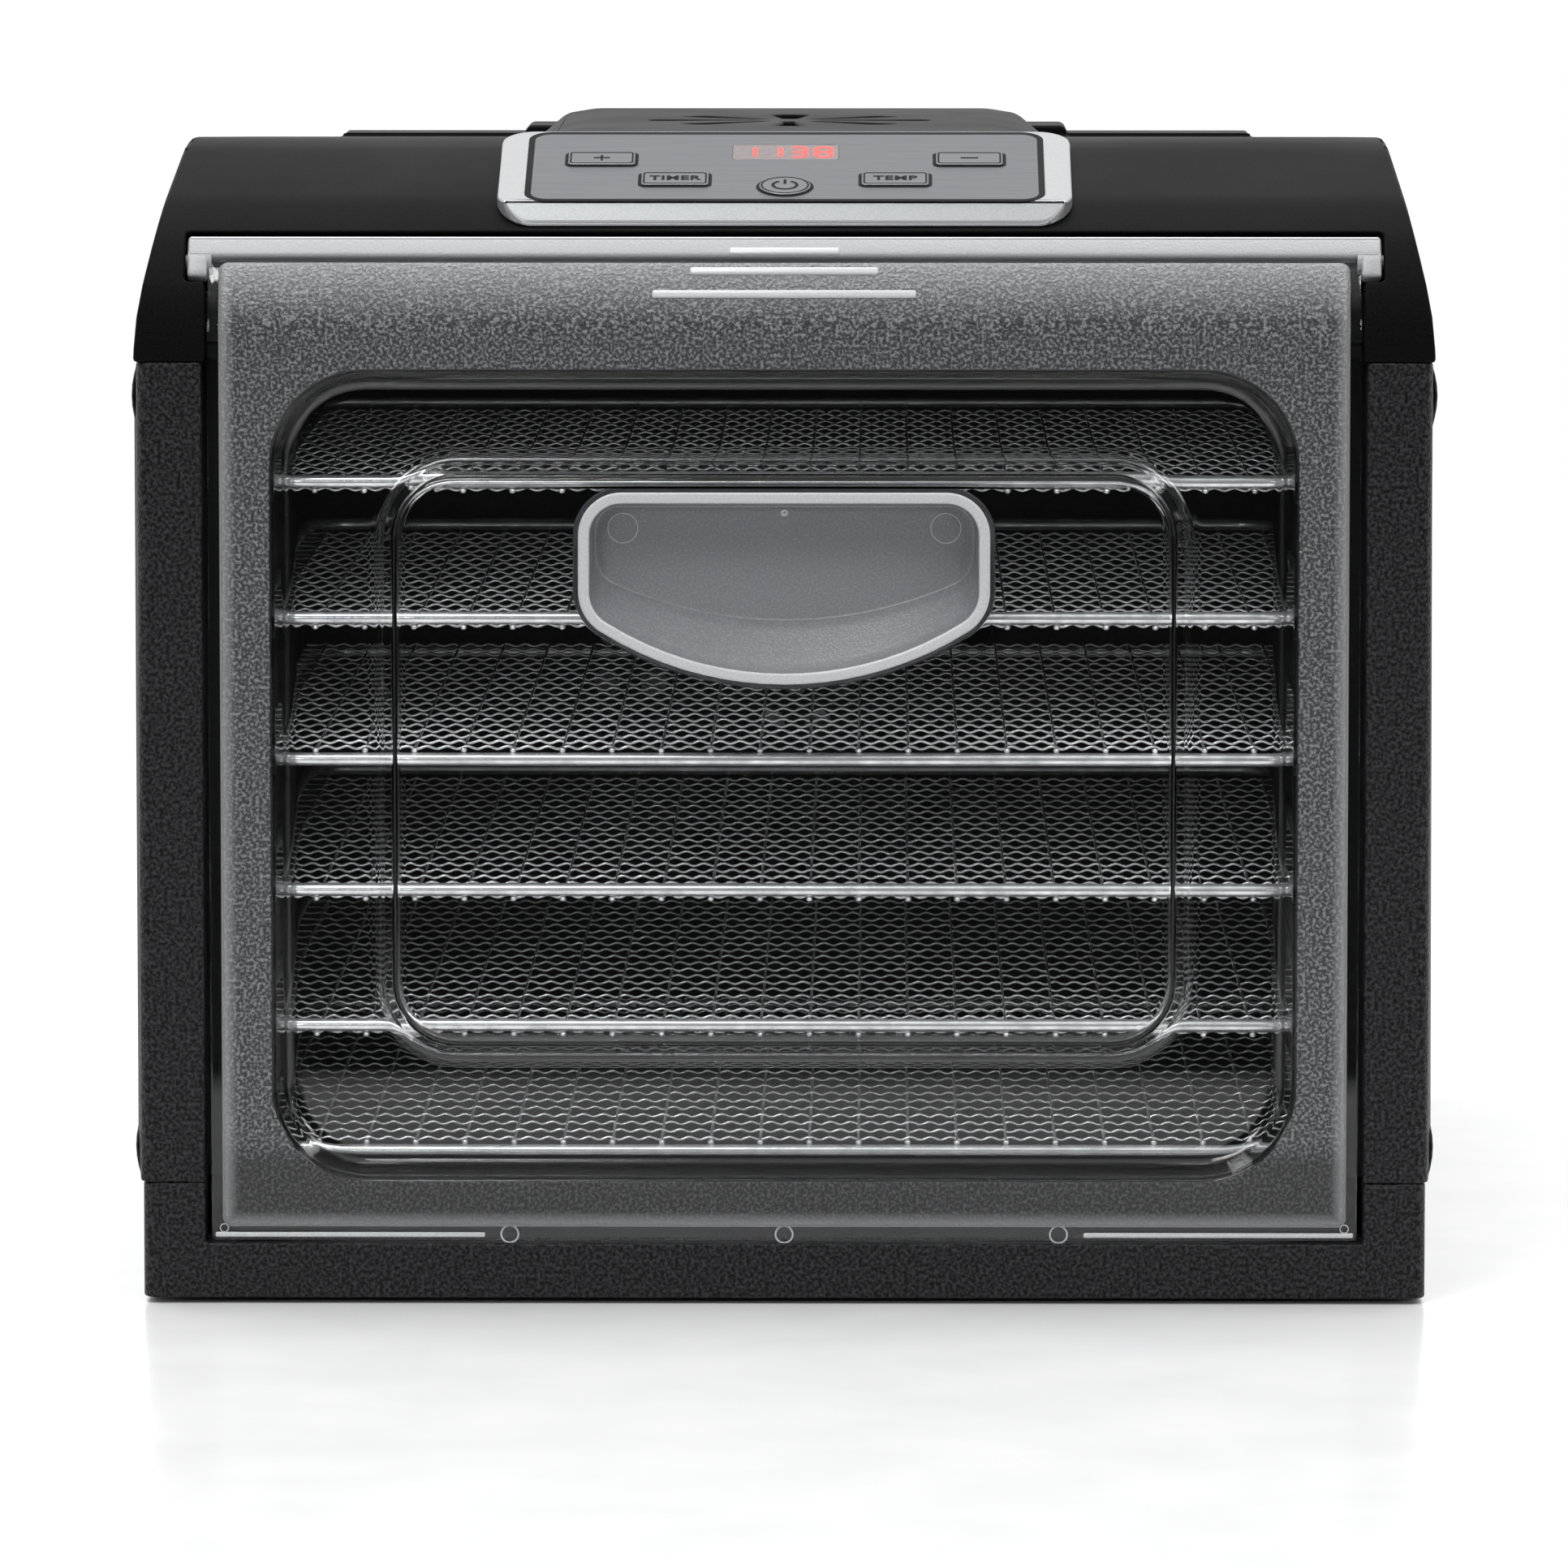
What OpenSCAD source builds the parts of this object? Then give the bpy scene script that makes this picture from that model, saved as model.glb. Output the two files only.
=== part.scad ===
// Front-loading food dehydrator: six wire trays slide into a drying chamber behind a clear
// swing-up door, and a fan and a heater in the rear compartment blow warm air through them.
// Every module is drawn from the middle of the front face, at the lower edge of the base:
// X runs right, Y runs towards the back and Z up. lift() moves the whole part onto its feet
// and puts the middle of its depth at the origin.

/* [Body] */
// Width across the side panels
body_w = 343.6; // [320:0.2:420]
// Depth from the front columns to the rear edge
body_d = 450; // [430:1:560]
// Height of the base tub
base_h = 31; // [26:0.5:40]
// Height of the seam under the top cover
seam_h = 250; // [250:0.5:300]
// Wall of the moulded shells
wall = 2.5; // [2:0.1:3.5]
// Radius of the upright outer edges
edge_r = 4; // [2:0.5:8]
// Width of each front column
column_w = 17.4; // [14:0.1:24]
// Height of the sill under the door
sill_h = 14.7; // [12:0.1:20]
// Height of the rubber feet
foot_h = 1.5; // [1:0.1:6]
// Radius of each foot
foot_r = 9; // [6:0.5:14]
// Outward swell of the side grip bands
band_out = 1.4; // [0.8:0.1:2.5]
// Height of the side grip bands
band_h = 16.3; // [10:0.1:24]

/* [Top cover] */
// Height of the front edge over the seam, before its rounding
nose_h = 34.6; // [32:0.2:44]
// Radius of the rounded front edge
nose_r = 40; // [34:1:46]
// Slope of the control area
slope = 17; // [12:0.5:22]
// Distance of the crest from the front
crest_y = 72; // [66:1:90]
// Radius of the crest
crest_r = 90; // [60:5:140]
// Fall of the top towards the rear, in degrees
rear_fall = 2.4; // [1:0.1:5]
// Radius of the rear top edge
rear_r = 12; // [6:1:20]
// How far the sides lean in at the crest
lean_in = 10.4; // [4:0.2:18]
// Radius of the top side edges
cover_r = 7; // [4:0.5:12]

/* [Door] */
// Side gap between the door leaf and each column
door_gap = 1.6; // [0.8:0.1:3]
// Gap between the sill and the door
door_lift = 0.3; // [0.3:0.1:2]
// Thickness of the door moulding
door_t = 2.5; // [2:0.1:3]
// Step of the raised frosted frame
frame_step = 1.8; // [1:0.1:2.5]
// Width of the clear border round the frosted frame
border_w = 3; // [2:0.2:6]
// Width of the frosted frame at the sides of the window
stile_w = 13.6; // [10:0.2:24]
// Height of the frosted frame under the window
bottom_rail = 16.7; // [12:0.1:30]
// Distance from the seam down to the top of the window
top_rail = 2; // [1:0.5:20]
// Corner radius of the window
window_r = 25; // [12:1:34]
// Depth of the window recess, at its back face
recess_d = 11; // [9:0.5:11.5]
// Inset of the raised middle panel from the window at the sides
middle_side = 31.2; // [24:0.2:44]
// Inset of the raised middle panel at the top
middle_top = 27; // [22:1:34]
// Inset of the raised middle panel at the bottom
middle_bottom = 35; // [26:1:50]
// Corner radius of the middle panel
middle_r = 18; // [10:1:24]
// Width of the handle pocket
handle_w = 108.2; // [80:0.2:130]
// Height of the handle pocket
handle_h = 50; // [38:1:60]
// Distance from the seam down to the top of the handle
handle_drop = 35; // [30:1:60]
// Depth of the handle pocket, at its back face
handle_d = 14.5; // [12:0.5:14.5]
// Opening angle of the door
door_open = 105; // [80:1:108]
// Distance of the hinge axis behind the front plane
hinge_y = 10.4; // [9.5:0.1:12]
// Height of the hinge axis over the seam
hinge_up = 26; // [24:0.5:30]
// Radius of the hinge pins
pin_r = 2; // [1.5:0.1:2.6]
// Radial clearance of the hinge pins
pin_fit = 0.05; // [0.02:0.01:0.1]
// Reach of each ear beyond the leaf
ear_out = 5.4; // [4:0.1:7]

/* [Trays] */
// Number of trays; their bodies are named one by one
tray_n = 6; // [6:1:6]
// Height of the top rail over the sill
rail_top = 198.85; // [190:0.05:205]
// Spacing of the rails
rail_pitch = 36.5; // [34:0.1:37]
// Spacing of the lowest pair of rails
rail_last = 32.6; // [30:0.1:36]
// Depth of a tray
tray_d = 325; // [280:1:330]
// Diameter of the frame wire
frame_wire = 3.5; // [3:0.1:4]
// Thickness of the mesh
mesh_t = 1.4; // [1:0.1:2]
// Spacing of the mesh wires
mesh_pitch = 13.1; // [9:0.1:16]
// Corner radius of the tray frame
tray_r = 14; // [8:1:22]
// Gap between a tray and its rails, below and at the side
tray_fit = 0.3; // [0.3:0.1:1]

/* [Control panel] */
// Width of the silver bezel
bezel_w = 153; // [140:1:170]
// Width of the brushed overlay
overlay_w = 136; // [128:1:150]
// Length of the overlay, measured up the slope
overlay_l = 52.5; // [50:0.5:56]
// Height of the bezel over the slope
bezel_t = 2.6; // [2:0.1:4]
// Width of a rectangular key
key_w = 18; // [14:0.5:20]
// Height of a rectangular key, up the slope
key_l = 9.7; // [7:0.1:11]
// Diameter of the power key
power_d = 13.8; // [10:0.2:16]
// Travel of the keys
key_travel = 0.8; // [0.3:0.1:1]
// Gap round each key
key_gap = 0.35; // [0.2:0.05:0.6]
// Width of the display window
display_w = 28.5; // [24:0.5:34]
// Height of the display window, up the slope
display_l = 12; // [9:0.5:13]

/* [Air system] */
// Depth of the rear compartment
rear_room = 97.5; // [92:0.5:150]
// Height of the fan axis over the sill
fan_up = 118; // [112:1:122]
// Radius of the fan blades
fan_r = 88; // [70:1:94]
// Gap between the blades and the shroud
fan_gap = 7; // [4:0.5:8]
// Number of fan blades
fan_n = 5; // [4:1:7]
// Radius of the motor shaft
shaft_r = 3; // [2:0.5:4]
// Radial clearance of the motor shaft
shaft_fit = 0.05; // [0.02:0.01:0.1]
// Radius of the motor
motor_r = 32; // [24:1:40]
// Radius of the heating ring
heater_r = 70; // [56:1:78]
// Radius of the heating element
heater_rod = 3; // [2.5:0.5:4]

/* [Hidden] */
$fn = 64;
arc_step = 6;
eps = 0.01;
far = 1000;

// Body
half_w = body_w / 2;
opening_half = half_w - column_w;
leaf_half = opening_half - door_gap;
door_bottom = sill_h + door_lift;
cover_flare = 0.6;
waist_up = 12;
waist_r = 100;
nose_z = seam_h + nose_h;
arc_z = nose_z - nose_r * tan(45 - slope / 2);
crest_z = nose_z + crest_y * tan(slope);
rear_z = crest_z - (body_d - crest_y) * tan(rear_fall);
screw_r = 3;
screw_head = 1.5;

// Chamber
chamber_gap = 7.4;
chamber_half = opening_half - chamber_gap;
jamb_d = 14.5;
chamber_front = jamb_d + wall;
bulkhead_y = body_d - rear_room - wall;
ceiling_z = seam_h + 3;
rail_in = 8;
rail_t = 2.2;
tray_front = chamber_front + 1.5;
tray_half = chamber_half - frame_wire / 2 - tray_fit - 0.4;

// Door: depths of its faces behind the front plane
leaf_back = frame_step + door_t + 0.3;
middle_face = 0.5;
frame_half = leaf_half - border_w;
frame_bottom = door_bottom + border_w + 1;
window_half = frame_half - stile_w;
window_bottom = door_bottom + bottom_rail;
window_top = seam_h - top_rail;
middle_half = window_half - middle_side;
middle_hi = window_top - middle_top;
middle_lo = window_bottom + middle_bottom;
handle_hi = seam_h - handle_drop;
handle_corner = 11;
handle_smile = 15;
hinge_z = seam_h + hinge_up;
hub_r = 3.6;
top_rise = 6.99;
top_angle = arc_angle(hinge_z + top_rise);
ear_low = 23.3;
ear_half = leaf_half + ear_out;
pin_reach = 4.3;
pocket_r = 8;
pocket_gap = 0.5;
door_back_gap = 0.6;

// Control panel, measured up the slope from the front edge
overlay_v = 18;
lip_v = 13.3;
lip_run = 8;
bezel_rear = 2.5;
bezel_v1 = overlay_v + overlay_l + bezel_rear;
overlay_t = 0.9;
overlay_r = 5;
bezel_r = 9;
groove = 0.6;
key_rise = 0.6;
key_deep = 5;
board_w = -11;
board_t = 1.6;
switch_h = 3.4;
row_hi = 49.5;
row_lo = 33.4;
power_v = 27.9;
display_v = 55.8;
key_hi_x = 49.3;
key_lo_x = 29.4;
key_r = 1.2;

// Air system
fan_z = sill_h + fan_up;
cutoff_out = (heater_r + heater_rod + fan_r + fan_gap) / 2;
probe_x = 80;
probe_z = (rail_z(1) + rail_z(2)) / 2;
shroud_d = 44;
shroud_y = bulkhead_y + wall;
bracket_y = shroud_y + shroud_d;
bracket_h = 24;
motor_y = bracket_y + wall;
motor_l = 34;
blade_y = shroud_y + 16;
blade_t = 2.4;
hub_l = 20;
fan_hub_r = 16;
nut_r = 6;

BLACK = [0.05, 0.05, 0.055];
SILVER = [0.72, 0.73, 0.74];
STEEL = [0.8, 0.81, 0.82];
CLEAR = [0.75, 0.8, 0.82, 0.45];
GREEN = [0.1, 0.32, 0.18];
RUBBER = [0.12, 0.12, 0.12];

// ---------- helpers ----------

module lift() translate([0, -body_d / 2, foot_h]) children();

// A flat shape with axes (y, z), drawn out evenly to both sides of the middle
module along_x(w) rotate([90, 0, 90]) linear_extrude(w, center = true) children();

// A flat shape with axes (x, z), drawn out from y0 to y1
module along_y(y0, y1) translate([0, y1, 0]) rotate([90, 0, 0]) linear_extrude(y1 - y0) children();

// A straight round bar from y0 to y1
module bar_y(r, y0, y1) translate([0, y0, 0]) rotate([-90, 0, 0]) cylinder(r = r, h = y1 - y0);

// The control area: X stays, Y runs up the slope and Z points straight out of it
module on_slope() translate([0, 0, nose_z]) rotate([slope, 0, 0]) children();

module both_sides() { children(); mirror([1, 0, 0]) children(); }

function unit(v) = v / norm(v);
function before(p, i) = unit(p[(i + len(p) - 1) % len(p)] - p[i]);
function after(p, i) = unit(p[(i + 1) % len(p)] - p[i]);
function half_angle(p, i) = acos(before(p, i) * after(p, i)) / 2;
function inward(p, i) = unit(before(p, i) + after(p, i)) / sin(half_angle(p, i));
function inset(p, w) = [for (i = [0:len(p) - 1]) p[i] + inward(p, i) * w];
function less(r, w) = [for (v = r) max(v - w, 0)];

// The points that round corner i of outline p by radius r
function corner(p, i, r) = r == 0 ? [p[i]] :
    let(turn = 180 - 2 * half_angle(p, i), steps = ceil(turn / arc_step), middle = p[i] + inward(p, i) * r,
        first = unit(p[i] + before(p, i) * r * tan(turn / 2) - middle),
        last = unit(p[i] + after(p, i) * r * tan(turn / 2) - middle))
    [for (k = [0:steps]) middle + r * (first * sin(turn * (1 - k / steps)) + last * sin(turn * k / steps))
        / sin(turn)];

// A convex outline with a radius at each corner
module soft_outline(p, r) polygon([for (i = [0:len(p) - 1]) for (point = corner(p, i, r[i])) point]);

// A rectangle from corner a to corner b with rounded corners
module soft_rect(a, b, r) {
    soft_outline([a, [b[0], a[1]], b, [a[0], b[1]]], [r, r, r, r]);
}

// ---------- outer shell ----------

function side_points(low) = [[0, low], [0, nose_z], [crest_y, crest_z], [body_d, rear_z], [body_d, low]];
side_radii = [0, nose_r, crest_r, rear_r, 0];
function face_points(low) = [[-half_w - cover_flare, low], [-half_w, seam_h + waist_up],
    [-half_w + lean_in, crest_z + 2], [half_w - lean_in, crest_z + 2],
    [half_w, seam_h + waist_up], [half_w + cover_flare, low]];
face_radii = [0, waist_r, cover_r, cover_r, waist_r, 0];

module cover_solid(low, w) intersection() {
    along_x(far) soft_outline(inset(side_points(low), w), less(side_radii, w));
    along_y(-1, body_d + 1) soft_outline(inset(face_points(low), w), less(face_radii, w));
}

// Space that the door and its swing take out of the cover, grown by g
module door_space(g) {
    along_x(2 * (leaf_half + door_back_gap + g)) union() {
        translate([-eps, seam_h - 5]) square([leaf_back + door_back_gap + g, arc_z - seam_h + 5 + eps]);
        difference() {
            translate([-eps, arc_z]) square([hinge_y, hinge_z - arc_z]);
            translate([nose_r, arc_z]) circle(nose_r - leaf_back - door_back_gap - g, $fn = 128);
        }
    }
    along_x(2 * (ear_half + pocket_gap + g)) union() {
        translate([hinge_y, hinge_z]) circle(pocket_r + g);
        translate([-eps, seam_h + ear_low - 1 - g]) square([hinge_y, pocket_r]);
    }
}

// Room over the door's window box
module window_room(g) {
    translate([-window_half - door_t - 2 - g, -1, seam_h - 6])
        cube([2 * (window_half + door_t + 2 + g), recess_d + 3 + g, ceiling_z - seam_h + 6 + g]);
}

module top_cover() color(BLACK) lift() {
    difference() {
        union() {
            difference() {
                cover_solid(seam_h, 0);
                difference() {
                    cover_solid(seam_h - 10, wall);
                    door_space(wall);
                    both_sides() translate([ear_half + pocket_gap, 0, seam_h + 14])
                        cube([pin_reach + 2, hinge_y + 2 * pin_r + 4, 24]);
                }
            }
            rear_ridges();
        }
        door_space(0);
        window_room(0);
        translate([0, hinge_y, hinge_z]) rotate([0, 90, 0])
            cylinder(r = pin_r + pin_fit, h = 2 * (ear_half + pin_reach + 1), center = true);
        panel_window();
        vent_well();
    }
}

// Two low steps across the rear of the cover
module rear_ridges() difference() {
    union() {
        along_y(body_d - 34, body_d - 14) soft_rect([-137, rear_z - 20], [137, rear_z + 2.6], 1.2);
        along_y(body_d - 52, body_d - 22) soft_rect([-81.5, rear_z - 20], [81.5, rear_z + 5.6], 2.4);
    }
    cover_solid(seam_h - 10, wall);
}

module panel_window() on_slope()
    translate([-overlay_w / 2 + 5, overlay_v + 1.5, -20]) cube([overlay_w - 10, overlay_l - 5.5, 40]);

vent_y = crest_y + 93;
vent_r = 40;
module vent_well() translate([0, vent_y, seam_h + 10]) cylinder(r = vent_r + 3, h = 60);

module top_vent_grille() color(BLACK) lift() difference() {
    along_y(vent_y - 85, vent_y + 85) soft_outline([[-72, seam_h], [-72, crest_z - 7], [-64.5, crest_z - 0.6],
        [-56, crest_z + 0.8], [56, crest_z + 0.8], [64.5, crest_z - 0.6], [72, crest_z - 7], [72, seam_h]],
        [0, 3, 7, 20, 20, 7, 3, 0]);
    cover_solid(seam_h - 10, 0);
    for (a = [0:45:315]) translate([0, vent_y, seam_h]) rotate([0, 0, a]) linear_extrude(80)
        soft_outline([[9, -1.3], [vent_r - 1, -5.2], [vent_r - 1, 5.2], [9, 1.3]], [1, 3, 3, 1]);
}

module base_tub() color(BLACK) lift() {
    linear_extrude(wall) soft_rect([-half_w + 0.8, 0], [half_w - 0.8, body_d], edge_r);
    difference() {
        linear_extrude(base_h) difference() {
            soft_rect([-half_w + 0.8, 0], [half_w - 0.8, body_d], edge_r);
            soft_rect([-half_w + 0.8 + wall, wall], [half_w - 0.8 - wall, body_d - wall], edge_r - wall / 2);
        }
        translate([-opening_half, -1, sill_h]) cube([2 * opening_half, wall + 2, base_h]);
    }
    both_sides() translate([opening_half, 0, 0]) cube([wall, jamb_d, base_h]);
    translate([-opening_half - eps, wall - eps, sill_h - wall])
        cube([2 * opening_half + 2 * eps, bulkhead_y + wall, wall]);
    for (y = [100, 200, bulkhead_y]) translate([-opening_half, y, 0])
        cube([2 * opening_half, wall, sill_h - wall + eps]);
}

// One side wall with its front column, as a plan outline
module side_plan() {
    intersection() {
        difference() {
            soft_rect([-half_w, 0], [half_w, body_d], edge_r);
            soft_rect([-half_w + wall, wall], [half_w - wall, body_d - wall], edge_r - wall / 2);
        }
        union() {
            translate([opening_half, -1]) square([half_w, wall + 2]);
            translate([half_w - wall - edge_r, -1]) square([half_w, body_d + 2]);
        }
    }
    translate([opening_half, 0]) square([wall, jamb_d]);
}

module grip_band(z) {
    swell = (pow(band_h / 2, 2) + pow(band_out, 2)) / (2 * band_out);
    along_y(6, body_d - 6) intersection() {
        translate([half_w + band_out - swell, z]) circle(swell, $fn = 256);
        translate([half_w - 0.5, z - band_h / 2]) square([5, band_h]);
    }
}

module side_panel() {
    translate([0, 0, base_h]) linear_extrude(seam_h - base_h) side_plan();
    grip_band(seam_h - 1 - band_h / 2);
    grip_band(base_h + 1 + band_h / 2);
}

module left_side_panel() color(BLACK) lift() mirror([1, 0, 0]) side_panel();
module right_side_panel() color(BLACK) lift() side_panel();

// Screws of the rear cover: one near each corner and one halfway up each side
function cover_screw_places() = [for (x = [-1, 1]) for (z = [base_h + 12, (base_h + seam_h) / 2, seam_h - 12])
    [x * (half_w - wall - 14), z]];
inlet_x = -half_w + 46;
inlet_z = base_h + 24;
inlet_w = 27;
inlet_h = 20;
inlet_d = 16;

module rear_cover() color(BLACK) lift() {
    x = half_w - wall - edge_r;
    difference() {
        translate([-x, body_d - screw_head - wall, base_h]) cube([2 * x, wall, seam_h - base_h]);
        for (row = [-7:7]) both_sides() translate([4, body_d - 10, fan_z + row * 11 - 2.5]) cube([78, 20, 5]);
        translate([inlet_x - inlet_w / 2, body_d - 10, inlet_z - inlet_h / 2]) cube([inlet_w, 20, inlet_h]);
        for (p = cover_screw_places()) translate([p[0], 0, p[1]]) bar_y(1.6, body_d - 10, body_d);
    }
}

module cover_screws() color(STEEL) lift() for (p = cover_screw_places()) translate([p[0], 0, p[1]]) {
    bar_y(screw_r, body_d - screw_head, body_d);
    bar_y(1.6, body_d - screw_head - wall - 6, body_d - screw_head + eps);
}

module power_inlet() color(BLACK) lift() translate([inlet_x, 0, inlet_z]) difference() {
    union() {
        along_y(body_d - screw_head, body_d) soft_rect([-inlet_w / 2 - 3, -inlet_h / 2 - 3],
            [inlet_w / 2 + 3, inlet_h / 2 + 3], 3);
        translate([-inlet_w / 2, body_d - inlet_d - 4, -inlet_h / 2]) cube([inlet_w, inlet_d + 3, inlet_h]);
    }
    translate([-inlet_w / 2 + 1.5, body_d - inlet_d, -inlet_h / 2 + 1.5])
        cube([inlet_w - 3, inlet_d + 1, inlet_h - 3]);
}

module inlet_pins() color(STEEL) lift() for (p = [[-7, -3], [0, 0], [7, -3]])
    translate([inlet_x + p[0] - 1, body_d - inlet_d, inlet_z + p[1] - 2]) cube([2, 12, 4]);

module rubber_feet() color(RUBBER) both_sides() for (y = [-1, 1])
    translate([half_w - 30, y * (body_d / 2 - 34), 0]) cylinder(r = foot_r, h = foot_h);

// ---------- drying chamber ----------

function rail_z(k) = sill_h + rail_top - (k < tray_n ? (k - 1) * rail_pitch : (k - 2) * rail_pitch + rail_last);

module chamber_wall() {
    translate([chamber_half, jamb_d, sill_h]) cube([wall, bulkhead_y - jamb_d, ceiling_z - sill_h]);
    translate([chamber_half, jamb_d, base_h]) cube([opening_half + wall - chamber_half, wall, seam_h - base_h]);
    for (k = [1:tray_n]) translate([chamber_half - rail_in, chamber_front + 1, rail_z(k) - rail_t])
        cube([rail_in + 1, bulkhead_y - chamber_front - 1, rail_t]);
}

module chamber_wall_left() color(BLACK) lift() mirror([1, 0, 0]) chamber_wall();
module chamber_wall_right() color(BLACK) lift() chamber_wall();

board_posts = [[30, 110], [30, 250], [130, 110], [130, 250]];
module chamber_ceiling() color(BLACK) lift() difference() {
    union() {
        translate([-chamber_half - wall, recess_d + 2, ceiling_z])
            cube([2 * (chamber_half + wall), bulkhead_y + wall - recess_d - 2, wall]);
        for (p = board_posts) translate([p[0], p[1], ceiling_z]) cylinder(r = 3, h = wall + 4);
    }
    door_space(wall);
}

hole_rings = [[0, 1], [14, 6], [28, 12], [42, 18], [56, 24]];
module fan_bulkhead() color(BLACK) lift() difference() {
    translate([-chamber_half - wall, bulkhead_y, sill_h])
        cube([2 * (chamber_half + wall), wall, ceiling_z - sill_h]);
    for (ring = hole_rings) for (i = [1:ring[1]]) translate([0, 0, fan_z])
        rotate([0, i * 360 / ring[1], 0]) translate([ring[0], 0, 0]) bar_y(4, bulkhead_y - 1, shroud_y + 1);
    translate([probe_x, 0, probe_z]) bar_y(2, bulkhead_y - 1, shroud_y + 1);
}

// ---------- fan, heater and motor ----------

module fan_shroud() color(BLACK) lift() translate([0, shroud_y, fan_z]) rotate([-90, 0, 0])
    difference() {
        cylinder(r = fan_r + fan_gap + wall, h = shroud_d, $fn = 128);
        translate([0, 0, -1]) cylinder(r = fan_r + fan_gap, h = shroud_d + 2, $fn = 128);
    }

module heater_pads() color(SILVER) lift() for (a = [45:90:315]) translate([0, shroud_y, fan_z])
    rotate([0, a, 0]) translate([heater_r - 6, 0, -5]) cube([12, 3, 10]);

module heater_ring() color([0.35, 0.3, 0.28]) lift() translate([0, shroud_y + 3 + heater_rod, fan_z])
    rotate([90, 0, 0]) rotate_extrude($fn = 96) translate([heater_r, 0]) circle(heater_rod, $fn = 32);

module thermal_cutoff() color(SILVER) lift() translate([0, 0, fan_z]) rotate([0, -135, 0])
    translate([cutoff_out, 0, 0]) bar_y(8, shroud_y, shroud_y + 9);

module temperature_probe() color(STEEL) lift() translate([probe_x, 0, probe_z])
    bar_y(2, bulkhead_y - 8, shroud_y + 8);

motor_screw_x = 46;
module motor_bracket() color(STEEL) lift() difference() {
    translate([-fan_r - fan_gap - wall, bracket_y, fan_z - bracket_h / 2])
        cube([2 * (fan_r + fan_gap + wall), wall, bracket_h]);
    translate([0, 0, fan_z]) bar_y(shaft_r + 1, bracket_y - 1, motor_y + 1);
}

module motor_body() color(SILVER) lift() translate([0, 0, fan_z]) difference() {
    union() {
        bar_y(motor_r, motor_y + 2, motor_y + motor_l, $fn = 96);
        translate([-motor_screw_x - 7, motor_y, -7]) cube([2 * motor_screw_x + 14, 2, 14]);
    }
    bar_y(shaft_r + shaft_fit, motor_y - 1, motor_y + motor_l - 6);
    both_sides() translate([motor_screw_x, 0, 0]) bar_y(2, motor_y - 1, motor_y + 2.5);
}

module motor_screws() color(STEEL) lift() both_sides() translate([motor_screw_x, 0, fan_z]) {
    bar_y(3.5, motor_y + 2, motor_y + 4);
    bar_y(1.9, motor_y, motor_y + 2 + eps);
}

module fan_shaft() color(STEEL) lift() translate([0, 0, fan_z])
    bar_y(shaft_r, blade_y - 8, motor_y + motor_l - 7);

module fan_blades() color(SILVER) lift() translate([0, blade_y, fan_z]) rotate([-90, 0, 0]) difference() {
    union() {
        cylinder(r = fan_hub_r, h = hub_l);
        for (i = [0:fan_n - 1]) rotate([0, 0, i * 360 / fan_n]) translate([fan_hub_r - 3, 0, hub_l / 2])
            rotate([28, 0, 0]) translate([0, -17, -blade_t / 2]) linear_extrude(blade_t)
                soft_rect([0, 0], [fan_r - fan_hub_r, 34], 8);
    }
    translate([0, 0, -1]) cylinder(r = shaft_r, h = hub_l + 2);
}

module fan_nut() color(STEEL) lift() translate([0, 0, fan_z]) difference() {
    translate([0, blade_y - 5, 0]) rotate([-90, 0, 0]) cylinder(r = nut_r, h = 5, $fn = 6);
    bar_y(shaft_r, blade_y - 6, blade_y + 1);
}

// ---------- control panel ----------

module overlay_plan(g) soft_rect([-overlay_w / 2 - g, overlay_v - g],
    [overlay_w / 2 + g, overlay_v + overlay_l + g], overlay_r + g);

module key_plan(g) {
    both_sides() {
        translate([key_hi_x, row_hi]) key_rect(g);
        translate([key_lo_x, row_lo]) key_rect(g);
    }
    translate([0, power_v]) circle(power_d / 2 + g);
}

module key_rect(g) soft_rect([-key_w / 2 - g, -key_l / 2 - g], [key_w / 2 + g, key_l / 2 + g], key_r + g);

module display_plan(g) translate([0, display_v])
    soft_rect([-display_w / 2 - g, -display_l / 2 - g], [display_w / 2 + g, display_l / 2 + g], 1 + g);

overlay_seat = bezel_t - overlay_t;
bezel_posts = [for (x = [-1, 1]) for (v = [overlay_v + 7, overlay_v + overlay_l - 7]) [x * (overlay_w / 2 - 8), v]];

module control_bezel() color(SILVER) lift() {
    difference() {
        on_slope() intersection() {
            translate([0, 0, -12]) linear_extrude(30)
                soft_rect([-bezel_w / 2, lip_v], [bezel_w / 2, bezel_v1], bezel_r);
            along_x(bezel_w + 2) polygon([[lip_v - 1, -12], [lip_v - 1, -3.4], [lip_v + lip_run / 2, bezel_t],
                [bezel_v1 + 1, bezel_t], [bezel_v1 + 1, -12]]);
        }
        cover_solid(seam_h - 10, 0);
        on_slope() translate([0, 0, overlay_seat]) linear_extrude(10) overlay_plan(groove);
        on_slope() translate([0, 0, -20]) linear_extrude(40) { key_plan(key_gap); display_plan(eps); }
    }
    on_slope() for (p = bezel_posts) translate([p[0], p[1], board_w + board_t])
        cylinder(r = 2.5, h = overlay_seat - 0.5 - board_w - board_t);
}

module control_overlay() color([0.55, 0.56, 0.57]) lift() on_slope() translate([0, 0, overlay_seat])
    linear_extrude(overlay_t) difference() {
        overlay_plan(0);
        key_plan(key_gap);
        display_plan(0);
    }

module display_lens() color([0.1, 0.02, 0.02]) lift() on_slope() translate([0, 0, overlay_seat])
    linear_extrude(overlay_t) display_plan(0);

module display_module() color([0.8, 0.1, 0.08]) lift() on_slope()
    translate([-display_w / 2 + 1, display_v - display_l / 2 + 1, board_w + board_t])
        cube([display_w - 2, display_l - 2, overlay_seat - board_w - board_t]);

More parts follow.
